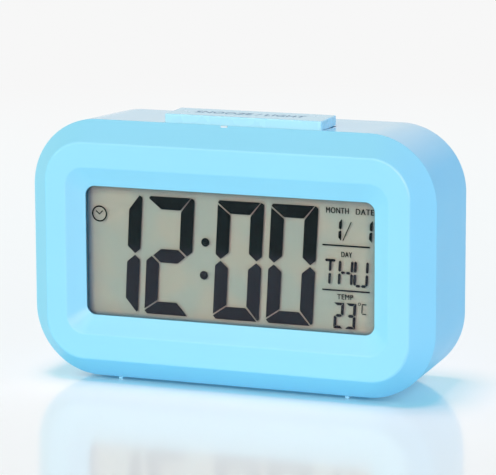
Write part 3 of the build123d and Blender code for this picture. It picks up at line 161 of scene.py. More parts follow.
def cloud(tree, size, detail=2.0):
    """Soft random shapes of about this size in millimetres, from 0 to 1."""
    inputs = {"Vector": place_on_piece(tree), "Scale": 1 / (size * MM), "Detail": detail}
    return node(tree, "TexNoise", inputs).outputs["Fac"]


def spread(tree, value, low, high, start=0.3, end=0.7):
    """Stretches a value from start and end to low and high."""
    inputs = {"Value": value, "From Min": start, "From Max": end, "To Min": low, "To Max": high}
    return node(tree, "MapRange", inputs).outputs["Result"]


def between(tree, value, first, second):
    """A colour between two, as the value goes from 0 to 1."""
    return node(tree, "Mix", {0: value, 6: first, 7: second}, data_type="RGBA").outputs[2]


def multiplied(tree, first, second):
    """Two colours multiplied, as one print laid over another."""
    inputs = {0: 1.0, 6: first, 7: second}
    return node(tree, "Mix", inputs, data_type="RGBA", blend_type="MULTIPLY").outputs[2]


def blended(tree, share, first, second):
    """Two shaders, all the first where the share is 0 and all the second where it is 1."""
    return node(tree, "MixShader", {"Fac": share, 1: first.outputs[0], 2: second.outputs[0]})


def relief(tree, shader, height, depth):
    """Lets a pattern stand out from the surface by this depth in millimetres."""
    bump = node(tree, "Bump", {"Height": height, "Distance": depth * MM, "Strength": 1.0})
    tree.links.new(bump.outputs["Normal"], shader.inputs["Normal"])


def dress(material, *names):
    """Gives these nodes of the model a finish in place of the plain one they came with."""
    for name in names:
        for slot in nodes[name].material_slots:
            slot.material = material
    print(f"{material.name}: {', '.join(names)}")


# %% [markdown]
# ## Blue plastic
# The case is moulded in pale blue plastic with a satin skin. Under a close light such a skin shows
# three things: a very fine spark-eroded grain, a roughness that drifts a little where the tool is
# worn, and faint flow marks in the colour. All three are noise at their own size. The snooze bar is
# a separate moulding in a lighter batch of the same plastic. Hands come down on the top of the shell
# and on the bar, and have rubbed both to a shine, which shows as a clear coat that grows with height.
# The thin lip of the window stands in its own shade, and that shade is painted: the bezel's colour is
# deeper there. A darker colour could be given to the lip's faces alone, but the bezel is one imported
# mesh, so its colour is multiplied by a deep blue painted shade where the point lies far enough in and
# within the window's outline.

# %% Moulded plastic
FLOW_SIZE, WEAR_SIZE, WEAR = 30, 9, 0.05
# Noise stays between these, so no part of a cloud is cut off flat and gets a hard edge.
NOISE_LOW, NOISE_HIGH = -0.1, 1.1


def moulded(name, tint, roughness, tone=0.03, grain=0.25, grain_depth=0.002, **sockets):
    """Satin injection-moulded plastic, with flow marks, uneven gloss and a fine grain."""
    material, tree, shader = new_material(name, colour(*tint), roughness, **sockets)
    flow = spread(tree, cloud(tree, FLOW_SIZE, 3), 0, 1, NOISE_LOW, NOISE_HIGH)
    tinted = between(tree, flow, colour(*tint, 1 - tone), colour(*tint, 1 + tone))
    tree.links.new(tinted, shader.inputs["Base Color"])
    wear = cloud(tree, WEAR_SIZE, 4)
    gloss = spread(tree, wear, roughness - WEAR, roughness + WEAR, NOISE_LOW, NOISE_HIGH)
    tree.links.new(gloss, shader.inputs["Roughness"])
    relief(tree, shader, cloud(tree, grain, 3), grain_depth)
    return material


# %% Bezel, with painted shade on the window's lip
CASE_TINT = (165, 232, 254)
UNTOUCHED = (1.0, 1.0, 1.0, 1)
LIP_PAINTED_SHADE = (0.05, 0.25, 0.35, 1)
LIP_FROM, LIP_AT = 3.7, 3.95
LIP_HALF_WIDTH, LIP_HALF_HEIGHT = 49.2, 22.0
LIP_EDGE = 0.3

bezel_blue = moulded("bezel_blue", CASE_TINT, 0.38, Coat_Weight=0.1, Coat_Roughness=0.15)
tree = bezel_blue.node_tree
place = axes(tree)
in_lip = spread(tree, place["Y"], 0, 1, FACE_Y + LIP_FROM * MM, FACE_Y + LIP_AT * MM)
for axis, middle, half in (("X", 0.0, LIP_HALF_WIDTH), ("Z", FACE_Z, LIP_HALF_HEIGHT)):
    off = reckon(tree, "ABSOLUTE", reckon(tree, "SUBTRACT", place[axis], middle))
    inside = spread(tree, off, 1, 0, half * MM, (half + LIP_EDGE) * MM)
    in_lip = reckon(tree, "MINIMUM", in_lip, inside)
base_socket = tree.nodes["Principled BSDF"].inputs["Base Color"]
flow_marks = base_socket.links[0].from_socket
# Painted shade: inside the lip the bezel's colour is multiplied by a deep blue.
lip_painted_shade = between(tree, in_lip, UNTOUCHED, LIP_PAINTED_SHADE)
tree.links.new(multiplied(tree, flow_marks, lip_painted_shade), base_socket)
dress(bezel_blue, "front_bezel")

# %% Shell, rubbed to a shine on top
RUBBED_FROM, RUBBED_AT = 30, 39
COAT_BELOW, COAT_ON_TOP = 0.05, 0.82

shell_blue = moulded("shell_blue", CASE_TINT, 0.3, Specular_IOR_Level=0.35, Coat_Roughness=0.1)
tree = shell_blue.node_tree
low, high = FACE_Z + RUBBED_FROM * MM, FACE_Z + RUBBED_AT * MM
rubbed = spread(tree, axes(tree)["Z"], COAT_BELOW, COAT_ON_TOP, low, high)
tree.links.new(rubbed, tree.nodes["Principled BSDF"].inputs["Coat Weight"])
dress(shell_blue, "rear_shell", "battery_door")

# %% Bar, keys and knob
bar_blue = moulded("bar_blue", (184, 239, 254), 0.27, Coat_Weight=0.8, Coat_Roughness=0.1)
dress(bar_blue, "snooze_bar", "mode_key", "set_key", "up_key", "down_key", "alarm_knob")

# %% [markdown]
# ## Clear pieces
# The lens, the film and the glasses are thin and flat, so what is behind them isn't bent. A mix of a
# Transparent and a Glossy shader, weighed by Fresnel, shows that, and lets the lamps through to the
# display, which real refraction would keep dark. Only the lens mirrors much, because the film and
# the glasses are laid on one another with no air between. Light that crosses all the sheets twice
# meets more clear surfaces than the eight that Cycles follows by default, so that limit is raised.

# %% Clear plastic and glass
def clear(name, tint, index, roughness):
    """A thin clear sheet that mirrors as much as its refractive index says."""
    material, tree, shader = new_material(name, colour(255, 255, 255), roughness)
    tree.nodes.remove(shader)
    through = node(tree, "BsdfTransparent", {"Color": colour(*tint)})
    haze = spread(tree, cloud(tree, 6), roughness * 0.8, roughness * 1.2)
    mirror = node(tree, "BsdfGlossy", {"Color": colour(255, 255, 255), "Roughness": haze})
    share = node(tree, "Fresnel", {"IOR": index}).outputs["Fac"]
    sheet = blended(tree, share, through, mirror)
    tree.links.new(sheet.outputs[0], tree.nodes["Material Output"].inputs["Surface"])
    return material


lens_clear = clear("lens_clear", (254, 255, 255), 1.1, 0.03)
film_clear = clear("film_clear", (253, 254, 252), 1.03, 0.08)
glass_clear = clear("glass_clear", (254, 255, 254), 1.03, 0.02)
dress(lens_clear, "display_lens")
dress(film_clear, "front_polarizer")
dress(glass_clear, "lcd_front_glass", "lcd_rear_glass")
bpy.context.scene.cycles.transparent_max_bounces = 32

# %% [markdown]
# ## The display's ground
# Behind the glasses lies a film that sends the room's light back, and gives the display its
# grey-green ground. Its grey is drawn warmer in some places and bluer in others, in patches of a
# centimetre or two, with a fine metallic speckle. A broad cloud of noise mixes two near greys, a fine
# one adds the speckle, and each rim gets a painted shade where the window's lip would keep light off.

# %% Reflecting film
COOL_GREY, WARM_GREY = (176, 174, 169), (187, 175, 166)
SPECKLE_TONE = (0.95, 0.95, 0.95, 1)
FACE_MIDDLE = FACE_Z / MM
# For each rim its axis, its painted shade, its place in millimetres, and the place where the film is clear
# of it.
RIM_PAINTED_SHADES = (("X", (0.12, 0.5, 0.9, 1), -49.6, -47.0),
        ("X", (0.6, 0.8, 0.95, 1), 47.7, 44.0),
        ("Z", (0.7, 0.75, 0.78, 1), FACE_MIDDLE + 21.3, FACE_MIDDLE + 17.0),
        ("Z", (0.3, 0.6, 0.9, 1), FACE_MIDDLE - 21.9, FACE_MIDDLE - 20.4))

ground, tree, shader = new_material("display_ground", colour(*COOL_GREY), 0.5)
warm = spread(tree, cloud(tree, 13, 1), 0, 1, 0.4, 0.6)
base = between(tree, warm, colour(*COOL_GREY), colour(*WARM_GREY))
speckle = spread(tree, cloud(tree, 0.25, 2), 0, 1)
base = multiplied(tree, base, between(tree, speckle, SPECKLE_TONE, UNTOUCHED))
place = axes(tree)
# Painted shade: the ground's colour is multiplied darker towards each rim.
for axis, rim_painted_shade, rim, clear_of_it in RIM_PAINTED_SHADES:
    lit = spread(tree, place[axis], 0, 1, rim * MM, clear_of_it * MM)
    base = multiplied(tree, base, between(tree, lit, rim_painted_shade, UNTOUCHED))
tree.links.new(base, shader.inputs["Base Color"])
dress(ground, "reflector_film")

# %% [markdown]
# ## Inner parts
# The parts behind the display and in the battery bay show when the door is open, and in an exploded
# view. Each has the finish of the real thing: white and black mouldings, a green board with paler
# copper tracks under its mask, bright wound wire, and printed battery jackets.

# %% White, black and milky mouldings
white_plastic = moulded("white_plastic", (232, 233, 229), 0.5, grain_depth=0.01)
switch_black = moulded("switch_black", (34, 34, 36), 0.45)
buzzer_black = moulded("buzzer_black", (24, 24, 26), 0.3)
chip_epoxy = moulded("chip_epoxy", (18, 18, 20), 0.15, grain=2, grain_depth=0.05)
sensor_resin = moulded("sensor_resin", (246, 249, 250), 0.12, tone=0.02)
light_guide = moulded("light_guide", (238, 244, 242), 0.3, tone=0.02)
dress(white_plastic, "lcd_frame", "mode_plunger", "set_plunger", "up_plunger", "down_plunger")
dress(switch_black, "mode_switch", "set_switch", "up_switch", "down_switch", "slide_switch")
dress(switch_black, "snooze_switch", "snooze_plunger", "slide_actuator")
dress(buzzer_black, "buzzer")
dress(chip_epoxy, "controller_chip")
dress(sensor_resin, "sensor_light_pipe", "light_sensor", "temperature_sensor")
dress(sensor_resin, "backlight_led_left", "backlight_led_right")
dress(light_guide, "light_guide")

# %% [markdown]
# A board's copper tracks lie under a green mask and show through it as paler lines. Drawing each one
# would take longer than anybody looks at them, so they are the edges between the random cells of a
# Voronoi texture, which also branch and bend without crossing.

# %% Circuit board
CELLS_PER_METRE = 260.0
TRACK_HEIGHT = 0.03
board, tree, shader = new_material("circuit_board", colour(20, 96, 52), 0.35)
inputs = {"Vector": place_on_piece(tree), "Scale": CELLS_PER_METRE}
cells = node(tree, "TexVoronoi", inputs, feature="DISTANCE_TO_EDGE")
track = spread(tree, cells.outputs["Distance"], 1, 0, 0.05, 0.09)
tree.links.new(between(tree, track, colour(12, 78, 40), colour(38, 128, 70)), shader.inputs["Base Color"])
relief(tree, shader, track, TRACK_HEIGHT)
dress(board, "main_board", "key_board")

# %% [markdown]
# The rubber connector under the glass is a stack of conducting and insulating layers, and the flat
# cable is a row of wires side by side. Both show as even stripes across X. A value that runs back and
# forth as X grows, cut to a narrow ramp, gives stripes with soft edges for any pitch.

# %% Striped rubber and flat cable
def striped(name, first, second, pitch, roughness):
    """Stripes across the X direction, this many millimetres apart."""
    material, tree, shader = new_material(name, colour(*first), roughness)
    wave = reckon(tree, "PINGPONG", axes(tree)["X"], pitch * MM / 2)
    stripe = spread(tree, wave, 0, 1, pitch * MM * 0.2, pitch * MM * 0.3)
    tree.links.new(between(tree, stripe, colour(*first), colour(*second)), shader.inputs["Base Color"])
    relief(tree, shader, stripe, 0.1)
    return material


dress(striped("zebra_rubber", (226, 150, 150), (30, 28, 30), 0.4, 0.6), "zebra_connector")
dress(striped("ribbon_grey", (150, 150, 152), (96, 96, 100), 1.27, 0.5), "ribbon_cable")

# %% [markdown]
# Springs, contacts and screws are bright metal. A perfect mirror looks like a drawing, so the colour
# has a slight tarnish, the polish drifts, and there are scratches a few thousandths deep.

# %% Metals
SCRATCH_SIZE, SCRATCH_DEPTH = 0.15, 0.003


def metal(name, tint, roughness):
    """Bright metal whose polish drifts, with hairline scratches."""
    material, tree, shader = new_material(name, colour(*tint), roughness, Metallic=1.0)
    tarnish = spread(tree, cloud(tree, 3, 5), 0, 1)
    tinted = between(tree, tarnish, colour(*tint, 0.85), colour(*tint))
    tree.links.new(tinted, shader.inputs["Base Color"])
    polish = spread(tree, cloud(tree, 1.5, 4), roughness * 0.7, roughness * 1.4)
    tree.links.new(polish, shader.inputs["Roughness"])
    relief(tree, shader, cloud(tree, SCRATCH_SIZE, 2), SCRATCH_DEPTH)
    return material


dress(metal("screw_steel", (176, 176, 180), 0.32), "case_screws", "board_screws", "key_board_screws")
dress(metal("spring_wire", (206, 206, 204), 0.22), "snooze_spring_left", "snooze_spring_right")
nickel = metal("nickel_plate", (214, 212, 206), 0.25)
dress(nickel, "battery_springs", "contact_positive", "contact_negative")
dress(nickel, "contact_right_bridge", "contact_left_bridge")
dress(metal("crystal_can", (204, 206, 208), 0.2), "quartz_crystal")

# %% Wires
wire_red = moulded("wire_red", (190, 34, 30), 0.4, grain_depth=0.01)
wire_black = moulded("wire_black", (28, 28, 30), 0.4, grain_depth=0.01)
dress(wire_red, "positive_lead")
dress(wire_black, "negative_lead", "buzzer_leads")

# %% [markdown]
# A cell's jacket is dark, with a copper-coloured band at the plus end, and its can is bare at both
# ends. The bands are straight, so a colour ramp along X draws them without a picture. The middle cell
# lies the other way round, and its ramp runs the other way.

# %% Battery jackets
RAMP_HALF = 25
BARE_FROM, BARE_AT = 21.0, 21.3
CAN, JACKET, COPPER = (206, 206, 204), (36, 40, 46), (196, 126, 62)
BANDS = ((0.0, CAN), (0.075, JACKET), (0.68, COPPER), (0.945, CAN))


def cell_jacket(name, plus_side):
    """Printed jacket of a cell whose plus end points to this side, 1 for right and -1 for left."""
    material, tree, shader = new_material(name, colour(*JACKET), 0.3)
    along = reckon(tree, "MULTIPLY", axes(tree)["X"], plus_side / MM)
    ramp = node(tree, "ValToRGB", {"Fac": spread(tree, along, 0, 1, -RAMP_HALF, RAMP_HALF)})
    ramp.color_ramp.interpolation = "CONSTANT"
    for start, tint in BANDS:
        stop = ramp.color_ramp.elements.new(start) if start else ramp.color_ramp.elements[0]
        stop.color = colour(*tint)
    ramp.color_ramp.elements.remove(ramp.color_ramp.elements[-1])
    tree.links.new(ramp.outputs["Color"], shader.inputs["Base Color"])
    bare = spread(tree, reckon(tree, "ABSOLUTE", along), 0.35, 1, BARE_FROM, BARE_AT)
    tree.links.new(bare, shader.inputs["Metallic"])
    relief(tree, shader, cloud(tree, 0.5, 3), 0.01)
    return material


dress(cell_jacket("cell_jacket_left", -1), "cell_upper", "cell_lower")
dress(cell_jacket("cell_jacket_right", 1), "cell_middle")

# %% [markdown]
# ## The display's marks
# A liquid crystal display is a sandwich: the dark marks stand between the two glasses, well in front
# of the ground, so they throw a soft shadow on it. Here every mark is a real, very thin solid in that
# gap. A mark starts as one face on a few corners, and is extruded to its thickness.

# %% Helpers for new pieces
def flat_mark(mesh, corners, depth, thickness):
    """Adds a thin solid with this outline of (x, height) corners, facing the viewer at this depth."""
    face = mesh.faces.new([mesh.verts.new(spot(x, depth, height)) for x, height in corners])
    pushed = bmesh.ops.extrude_face_region(mesh, geom=[face])["geom"]
    moved = [item for item in pushed if isinstance(item, bmesh.types.BMVert)]
    bmesh.ops.translate(mesh, verts=moved, vec=(0, thickness * MM, 0))


def finished(name, mesh, material, body):
    """Makes a piece from a bmesh, with its faces pointing outwards, and lets it ride on a body."""
    bmesh.ops.recalc_face_normals(mesh, faces=mesh.faces)
    data = bpy.data.meshes.new(name)
    mesh.to_mesh(data)
    mesh.free()
    data.materials.append(material)
    piece = bpy.data.objects.new(name, data)
    bpy.context.scene.collection.objects.link(piece)
    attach(piece, body)
    print(f"{name}: {len(data.polygons)} faces on {body}")


# %% [markdown]
# A digit is drawn from seven bars with mitred ends. In the big digits the bars almost touch: only a
# hairline parts them, and the two upright bars on each side end in points that meet at the middle.
# The whole digit leans to the right. One function gives all seven outlines for any size, so the same
# digit serves for the time and for the small numbers beside it.

# %% Seven-bar digits
MARK_DEPTH = 6.335
MARK_THICKNESS = 0.025
LEAN = 0.054
BARS = {"0": "abcdef", "1": "bc", "2": "abged", "3": "abgcd"}


def bar_outlines(half_width, half_height, stroke, hairline):
    """Outlines of the bars a to g, about the digit's middle, before it leans."""
    w, h, gap = half_width, half_height, hairline / 2
    corner, tip, slope = stroke * 0.23, stroke * 0.4, 0.86
    in_w, in_h = w - stroke, h - stroke
    outer = gap + slope * tip
    inner = gap + slope * (stroke - tip)
    end = w - tip - hairline
    step = stroke / 2 / slope
    return {
        "a": ((-w, h - corner + gap), (-w + corner / 2, h), (w - corner - gap, h), (in_w - gap, in_h + gap),
              (-in_w, in_h + gap)),
        "b": ((w - corner, h), (w, h - corner * 0.7), (w, outer), (w - tip, gap), (in_w, inner),
              (in_w, in_h - gap)),
        "c": ((w, -outer), (w, -h + corner * 0.8), (w - corner / 2, -h + gap), (in_w, -in_h + gap),
              (in_w, -inner), (w - tip, -gap)),
        "d": ((-in_w, -in_h - gap), (in_w - gap, -in_h - gap), (w - corner * 0.8, -h), (-w + corner, -h),
              (-w, -h + corner)),
        "e": ((-w, -outer), (-w + tip, -gap), (-in_w, -inner), (-in_w, -in_h + gap),
              (-w, -h + corner + 2 * gap)),
        "f": ((-w, h - corner - gap), (-in_w, in_h - gap), (-in_w, inner), (-w + tip, gap), (-w, outer)),
        "g": ((-end, 0), (-end + step, stroke / 2), (end - step, stroke / 2), (end, 0),
              (end - step, -stroke / 2), (-end + step, -stroke / 2)),
    }


def leaning(outline, x, height):
    """Puts an outline at this place, and leans it."""
    return [(x + u + LEAN * v, height + v) for u, v in outline]


def draw_digit(mesh, digit, x, height, *size):
    """Adds the bars of one digit."""
    outlines = bar_outlines(*size)
    for bar in BARS[digit]:
        flat_mark(mesh, leaning(outlines[bar], x, height), MARK_DEPTH, MARK_THICKNESS)


# %% The time
# A size is half the digit's width, half its height, its stroke and its hairline.
TIME_SIZE = (7.78, 19.1, 4.4, 0.54)
TIME_HEIGHT = -1.07
COLON_X, COLON_MIDDLE, COLON_HEIGHTS = -8.83, -1, (4.24, -6.42)
DOT_RADIUS = 1.38

marks = bmesh.new()
for digit, x in (("1", -38.65), ("2", -20.87), ("0", 2.6), ("0", 20.5)):
    draw_digit(marks, digit, x, TIME_HEIGHT, *TIME_SIZE)


def disc(mesh, x, height, radius, sides=32):
    """Adds a thin round mark."""
    turns = [2 * pi * i / sides for i in range(sides)]
    outline = [(x + radius * cos(t), height + radius * sin(t)) for t in turns]
    flat_mark(mesh, outline, MARK_DEPTH, MARK_THICKNESS)


for height in COLON_HEIGHTS:
    disc(marks, COLON_X + LEAN * (height - COLON_MIDDLE), height, DOT_RADIUS)
print("time drawn,", len(marks.faces), "faces")

# %% [markdown]
# The small field beside the time shows the month and date, the day and the temperature. Its numbers
# are the same digits at a smaller size. The day's letters come from thin bars with pointed ends, and
# two rules part the three rows. A small clock face in the corner says that the time is shown.

# %% Small numbers and rules
DATE_SIZE, DATE_HEIGHT = (1.4, 3.4, 0.95, 0.16), 11.02
DEGREES_SIZE, DEGREES_HEIGHT = (1.6, 4.12, 0.95, 0.16), -16.1
RULE_LEFT, RULE_RIGHT, RULE_WIDTH, RULE_HEIGHTS = 30.55, 46.15, 0.48, (6.08, -8.12)
THIN = 0.3
SLASH = ((37.3, 7.7), (40.0, 13.7))
CELSIUS = (((43.6, -12.1), (45.1, -12.1)), ((43.7, -12.3), (43.55, -15.0)),
           ((43.6, -15.15), (45.0, -15.15)))

for digit, x in (("2", 35.95), ("3", 39.95)):
    draw_digit(marks, digit, x, DEGREES_HEIGHT, *DEGREES_SIZE)
for x in (35.45, 45.5):
    draw_digit(marks, "1", x, DATE_HEIGHT, *DATE_SIZE)


def stroke_mark(mesh, start, end, width, point=0.0):
    """Adds a straight stroke from one (x, height) to another, with pointed ends if asked."""
    start, end = Vector(start), Vector(end)
    along = (end - start).normalized()
    side = Vector((-along.y, along.x)) * width / 2
    near, far = start + along * point, end - along * point
    corners = [near + side, far + side, far - side, near - side]
    if point:
        corners = [start, near + side, far + side, end, far - side, near - side]
    flat_mark(mesh, [tuple(corner) for corner in corners], MARK_DEPTH, MARK_THICKNESS)


stroke_mark(marks, *SLASH, THIN)
for height in RULE_HEIGHTS:
    stroke_mark(marks, (RULE_LEFT, height), (RULE_RIGHT, height), RULE_WIDTH)
for start, end in CELSIUS:
    stroke_mark(marks, start, end, THIN, 0.1)
print("rules and small numbers drawn,", len(marks.faces), "faces")

# %% Day letters
LETTER_TOP, LETTER_MIDDLE, LETTER_BOTTOM = 1.4, -2.45, -6.3
LETTER_STROKE, LETTER_POINT, HALF_GAP = 0.86, 0.4, 0.2


def upright(mesh, x):
    """Adds the two pointed bars of one upright, with a gap at the middle."""
    for high, low in ((LETTER_TOP, LETTER_MIDDLE + HALF_GAP), (LETTER_MIDDLE - HALF_GAP, LETTER_BOTTOM)):
        top = (x + LEAN * (high - LETTER_MIDDLE), high)
        foot = (x + LEAN * (low - LETTER_MIDDLE), low)
        stroke_mark(mesh, foot, top, LETTER_STROKE, LETTER_POINT)


def crossbar(mesh, start, end, height):
    """Adds a level bar with pointed ends."""
    stroke_mark(mesh, (start, height), (end, height), LETTER_STROKE, LETTER_POINT)


crossbar(marks, 31.4, 34.95, LETTER_TOP - 0.1)
for x in (33.05, 36.2, 40.2, 41.3, 45.2):
    upright(marks, x)
for start, end in ((36.6, 38.1), (38.3, 39.8)):
    crossbar(marks, start, end, LETTER_MIDDLE)
for start, end in ((41.4, 43.1), (43.2, 44.9)):
    crossbar(marks, start, end, LETTER_BOTTOM - 0.05)
print("day drawn,", len(marks.faces), "faces")

# %% Clock face and degree ring
def ring(mesh, x, height, outer, inner, sides=48):
    """Adds a thin ring, as a band of faces between two circles that is given a thickness."""
    circles = []
    for radius in (outer, inner):
        made = bmesh.ops.create_circle(mesh, segments=sides, radius=radius * MM)["verts"]
        bmesh.ops.rotate(mesh, verts=made, cent=(0, 0, 0), matrix=Matrix.Rotation(pi / 2, 3, "X"))
        bmesh.ops.translate(mesh, verts=made, vec=spot(x, MARK_DEPTH, height))
        circles += list({edge for vert in made for edge in vert.link_edges})
    band = bmesh.ops.bridge_loops(mesh, edges=circles)["faces"]
    pushed = bmesh.ops.extrude_face_region(mesh, geom=band)["geom"]
    moved = [item for item in pushed if isinstance(item, bmesh.types.BMVert)]
    bmesh.ops.translate(mesh, verts=moved, vec=(0, MARK_THICKNESS * MM, 0))


CLOCK_SIGN, DEGREE_RING = (-44.82, 11.28, 2.62, 2.17), (42.75, -12.05, 0.5, 0.3, 24)
HANDS = (((-46.05, 12.2), (-44.75, 11.1)), ((-44.88, 11.1), (-43.7, 12.28)))
HAND_WIDTH = 0.32
ring(marks, *CLOCK_SIGN)
for start, end in HANDS:
    stroke_mark(marks, start, end, HAND_WIDTH)
ring(marks, *DEGREE_RING)
print("clock sign and degree ring drawn,", len(marks.faces), "faces")

# %% [markdown]
# Captions stand over the small numbers in a plain narrow type. A font curve is filled and turned to
# a mesh first, and only then stretched to its width and height and set in place, so that its object
# can stay at the origin. The font curve's own Offset would make the strokes bolder, but it fills an M
# of this size, so each caption is laid down twice, a hair apart.

# %% Lettering
def lettering(mesh, word, line, width, height, thickness, spacing=1.0):
    """Adds a word in Blender's own plain type. The line is a matrix whose origin is the middle of the
    word on the surface, with local X along the word, Y up it and Z out of the surface."""
    font = bpy.data.curves.new(word, "FONT")
    font.body = word
    font.extrude = 0.5
    font.space_character = spacing
    holder = bpy.data.objects.new(word, font)
    data = bpy.data.meshes.new_from_object(holder)
    bpy.data.objects.remove(holder)
    bpy.data.curves.remove(font)
    corners = [vert.co for vert in data.vertices]
    low = Vector(min(co[i] for co in corners) for i in range(3))
    high = Vector(max(co[i] for co in corners) for i in range(3))
    size = high - low
    grow = Matrix.Diagonal((width * MM / size.x, height * MM / size.y, thickness * MM / size.z, 1))
    middle = Matrix.Translation(-Vector(((low.x + high.x) / 2, (low.y + high.y) / 2, low.z)))
    data.transform(line @ grow @ middle)
    mesh.from_mesh(data)
    bpy.data.meshes.remove(data)


def line_at(centre, along, out):
    """Matrix for a word centred here, that reads along one direction and faces out along another."""
    along, out = Vector(along), Vector(out)
    turn = Matrix((along, out.cross(along), out)).transposed().to_4x4()
    return Matrix.Translation(centre) @ turn


# %% Captions
# Each has its left and right ends, the height of its middle and how tall it is.
CAPTIONS = (("MONTH", 31.75, 39.2, 17.1, 1.85), ("DATE", 41.45, 47.4, 17.1, 1.8),
            ("DAY", 36.75, 40.35, 3.35, 1.65), ("TEMP", 35.45, 40.75, -10.1, 1.65))
CAPTION_SPACING = 1.12
HAIR = 0.05
for word, left, right, height, tall in CAPTIONS:
    for shift in (-HAIR, HAIR):
        centre = spot((left + right) / 2 + shift, MARK_DEPTH + MARK_THICKNESS, height)
        line = line_at(centre, (1, 0, 0), (0, -1, 0))
        width = right - left - 2 * HAIR
        lettering(marks, word, line, width, tall, MARK_THICKNESS, CAPTION_SPACING)
print("captions drawn,", len(marks.faces), "faces")

# %% [markdown]
# The marks look black from the front, yet they are a twisted liquid that passes a trace of light. The
# lower ones are a little paler and more violet, a painted reflection of the table's horizon in the lens.
# One ink does for all, and changes with height.

# %% Ink of the display
UPPER_INK, LOWER_INK_PAINTED_REFLECTION = (29, 35, 38), (50, 50, 58)
ink, tree, shader = new_material("display_ink", colour(*UPPER_INK), 0.45, Specular_IOR_Level=0.0)
# Painted reflection: below the face's middle the ink turns paler and more violet.
painted_reflection_share = spread(tree, axes(tree)["Z"], 1, 0, FACE_Z - 0.5 * MM, FACE_Z + 2.5 * MM)
ink_with_painted_reflection = between(tree, painted_reflection_share, colour(*UPPER_INK), colour(*LOWER_INK_PAINTED_REFLECTION))
tree.links.new(ink_with_painted_reflection, shader.inputs["Base Color"])
tree.links.new(spread(tree, cloud(tree, 12), 0.4, 0.5), shader.inputs["Roughness"])
finished("display_marks", marks, ink, "case")

# %% [markdown]
# ## Lettering on the case
# The bar carries one line of small pad-printed type that says what it does. The keys at the back are
# named in the same ink, above each key, and the slide switch has its two places marked. The words are
# plain and face the way each surface does.

# %% Words on the bar
WORDS_DEPTH, WORDS_WIDTH, WORDS_TALL = 14.3, 36.5, 3.4
PRINT_THICKNESS, PRINT_SINK = 0.03, 0.005
PALE_PRINT, DARK_PRINT = (84, 120, 150), (64, 98, 128)

print_ink, tree, shader = new_material("print_ink", colour(*DARK_PRINT), 0.5)
worn = spread(tree, cloud(tree, 1.2, 3), 0, 1)
tree.links.new(between(tree, worn, colour(*DARK_PRINT), colour(*PALE_PRINT)), shader.inputs["Base Color"])
words = bmesh.new()
bar_low, bar_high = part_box("snooze_bar")
centre = Vector(((bar_low.x + bar_high.x) / 2, FACE_Y + WORDS_DEPTH * MM, bar_high.z - PRINT_SINK * MM))
line = line_at(centre, (1, 0, 0), (0, 0, 1))
lettering(words, "SNOOZE / LIGHT", line, WORDS_WIDTH, WORDS_TALL, PRINT_THICKNESS)
finished("bar_words", words, print_ink, "snooze")

# %% Words by the keys
PANEL_DEPTH = 43.8
LABEL_THICKNESS, LABEL_SINK = 0.05, 0.02
NAMES_HEIGHT, STATES_HEIGHT = 28.6, 19.6
KEY_NAMES = (("MODE", "mode_key", 6.4), ("SET", "set_key", 4.4), ("UP", "up_key", 3.0),
             ("DOWN", "down_key", 6.6))


def label(mesh, word, x, height, width, tall=1.7):
    """Adds a printed word on the sunk panel, to be read from behind."""
    line = line_at(spot(x, PANEL_DEPTH - LABEL_SINK, height), (-1, 0, 0), (0, 1, 0))
    lettering(mesh, word, line, width, tall, LABEL_THICKNESS)


panel = bmesh.new()
for word, name, width in KEY_NAMES:
    key_low, key_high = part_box(name)
    label(panel, word, (key_low.x + key_high.x) / 2 / MM, NAMES_HEIGHT, width)
knob_low, knob_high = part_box("alarm_knob")
knob_x = (knob_low.x + knob_high.x) / 2 / MM
label(panel, "ALARM", knob_x + 2, NAMES_HEIGHT, 8.0)
label(panel, "OFF", knob_x - 1, STATES_HEIGHT, 3.6, 1.4)
label(panel, "ON", knob_x + 5, STATES_HEIGHT, 2.6, 1.4)
finished("key_labels", panel, print_ink, "case")

# %% [markdown]
# ## Table and light
# The table is glossy and white, so it mirrors the clock faintly, more where the view grazes it. The
# backdrop is the world itself, and it shows as the same near-white to the camera and in mirrors. For
# the soft light that it sheds, it is dimmer, or the clock would lose its shading. The table does the
# same: it shows white, but throws less light back up, and that light is a painted blue bounce that
# stands for the blue clock's own light coming back. It also has a painted glow that lifts its
# shadows, and the glow drops under the clock to a painted contact shadow.

# %% What the camera sees
STUDIO_WHITE = (0.93, 0.93, 0.93, 1)


def seen_or_mirrored(tree):
    """1 for what the camera sees straight, in a mirror or through glass, and 0 for soft light."""
    path = node(tree, "LightPath").outputs
    straight = reckon(tree, "MAXIMUM", path["Is Camera Ray"], path["Is Glossy Ray"])
    return reckon(tree, "MAXIMUM", straight, path["Is Transmission Ray"])


# %% Table
PAINTED_TABLE_GLOW, PAINTED_SHADOW_UNDER_CLOCK = (0.2, 0.25, 0.25, 1), (0.05, 0.05, 0.06, 1)
FOOTPRINT = (0.044, 0.0145, 1)
PAINTED_SHADOW_FADE = 12
PAINTED_BOUNCE_TINT, PAINTED_BOUNCE_GLOW = (0.25, 0.8, 0.95, 1), (0.0, 0.1, 0.13, 1)
WHITE_FROM, WHITE_AT = 0.3, 0.7

table_mesh = bmesh.new()
bmesh.ops.create_grid(table_mesh, x_segments=1, y_segments=1, size=6)
table_data = bpy.data.meshes.new("table")
table_mesh.to_mesh(table_data)
table_mesh.free()
table = bpy.data.objects.new("table", table_data)
bpy.context.scene.collection.objects.link(table)
gloss_white, tree, shader = new_material("gloss_white", (0.95, 0.95, 0.95, 1), 0.12, IOR=1.55)
away = node(tree, "VectorMath", {0: place_on_piece(tree)}, operation="ABSOLUTE").outputs["Vector"]
away = node(tree, "VectorMath", {0: away, 1: FOOTPRINT}, operation="SUBTRACT").outputs["Vector"]
away = node(tree, "VectorMath", {0: away, 1: (0, 0, 0)}, operation="MAXIMUM").outputs["Vector"]
away = node(tree, "VectorMath", {0: away}, operation="LENGTH").outputs["Value"]
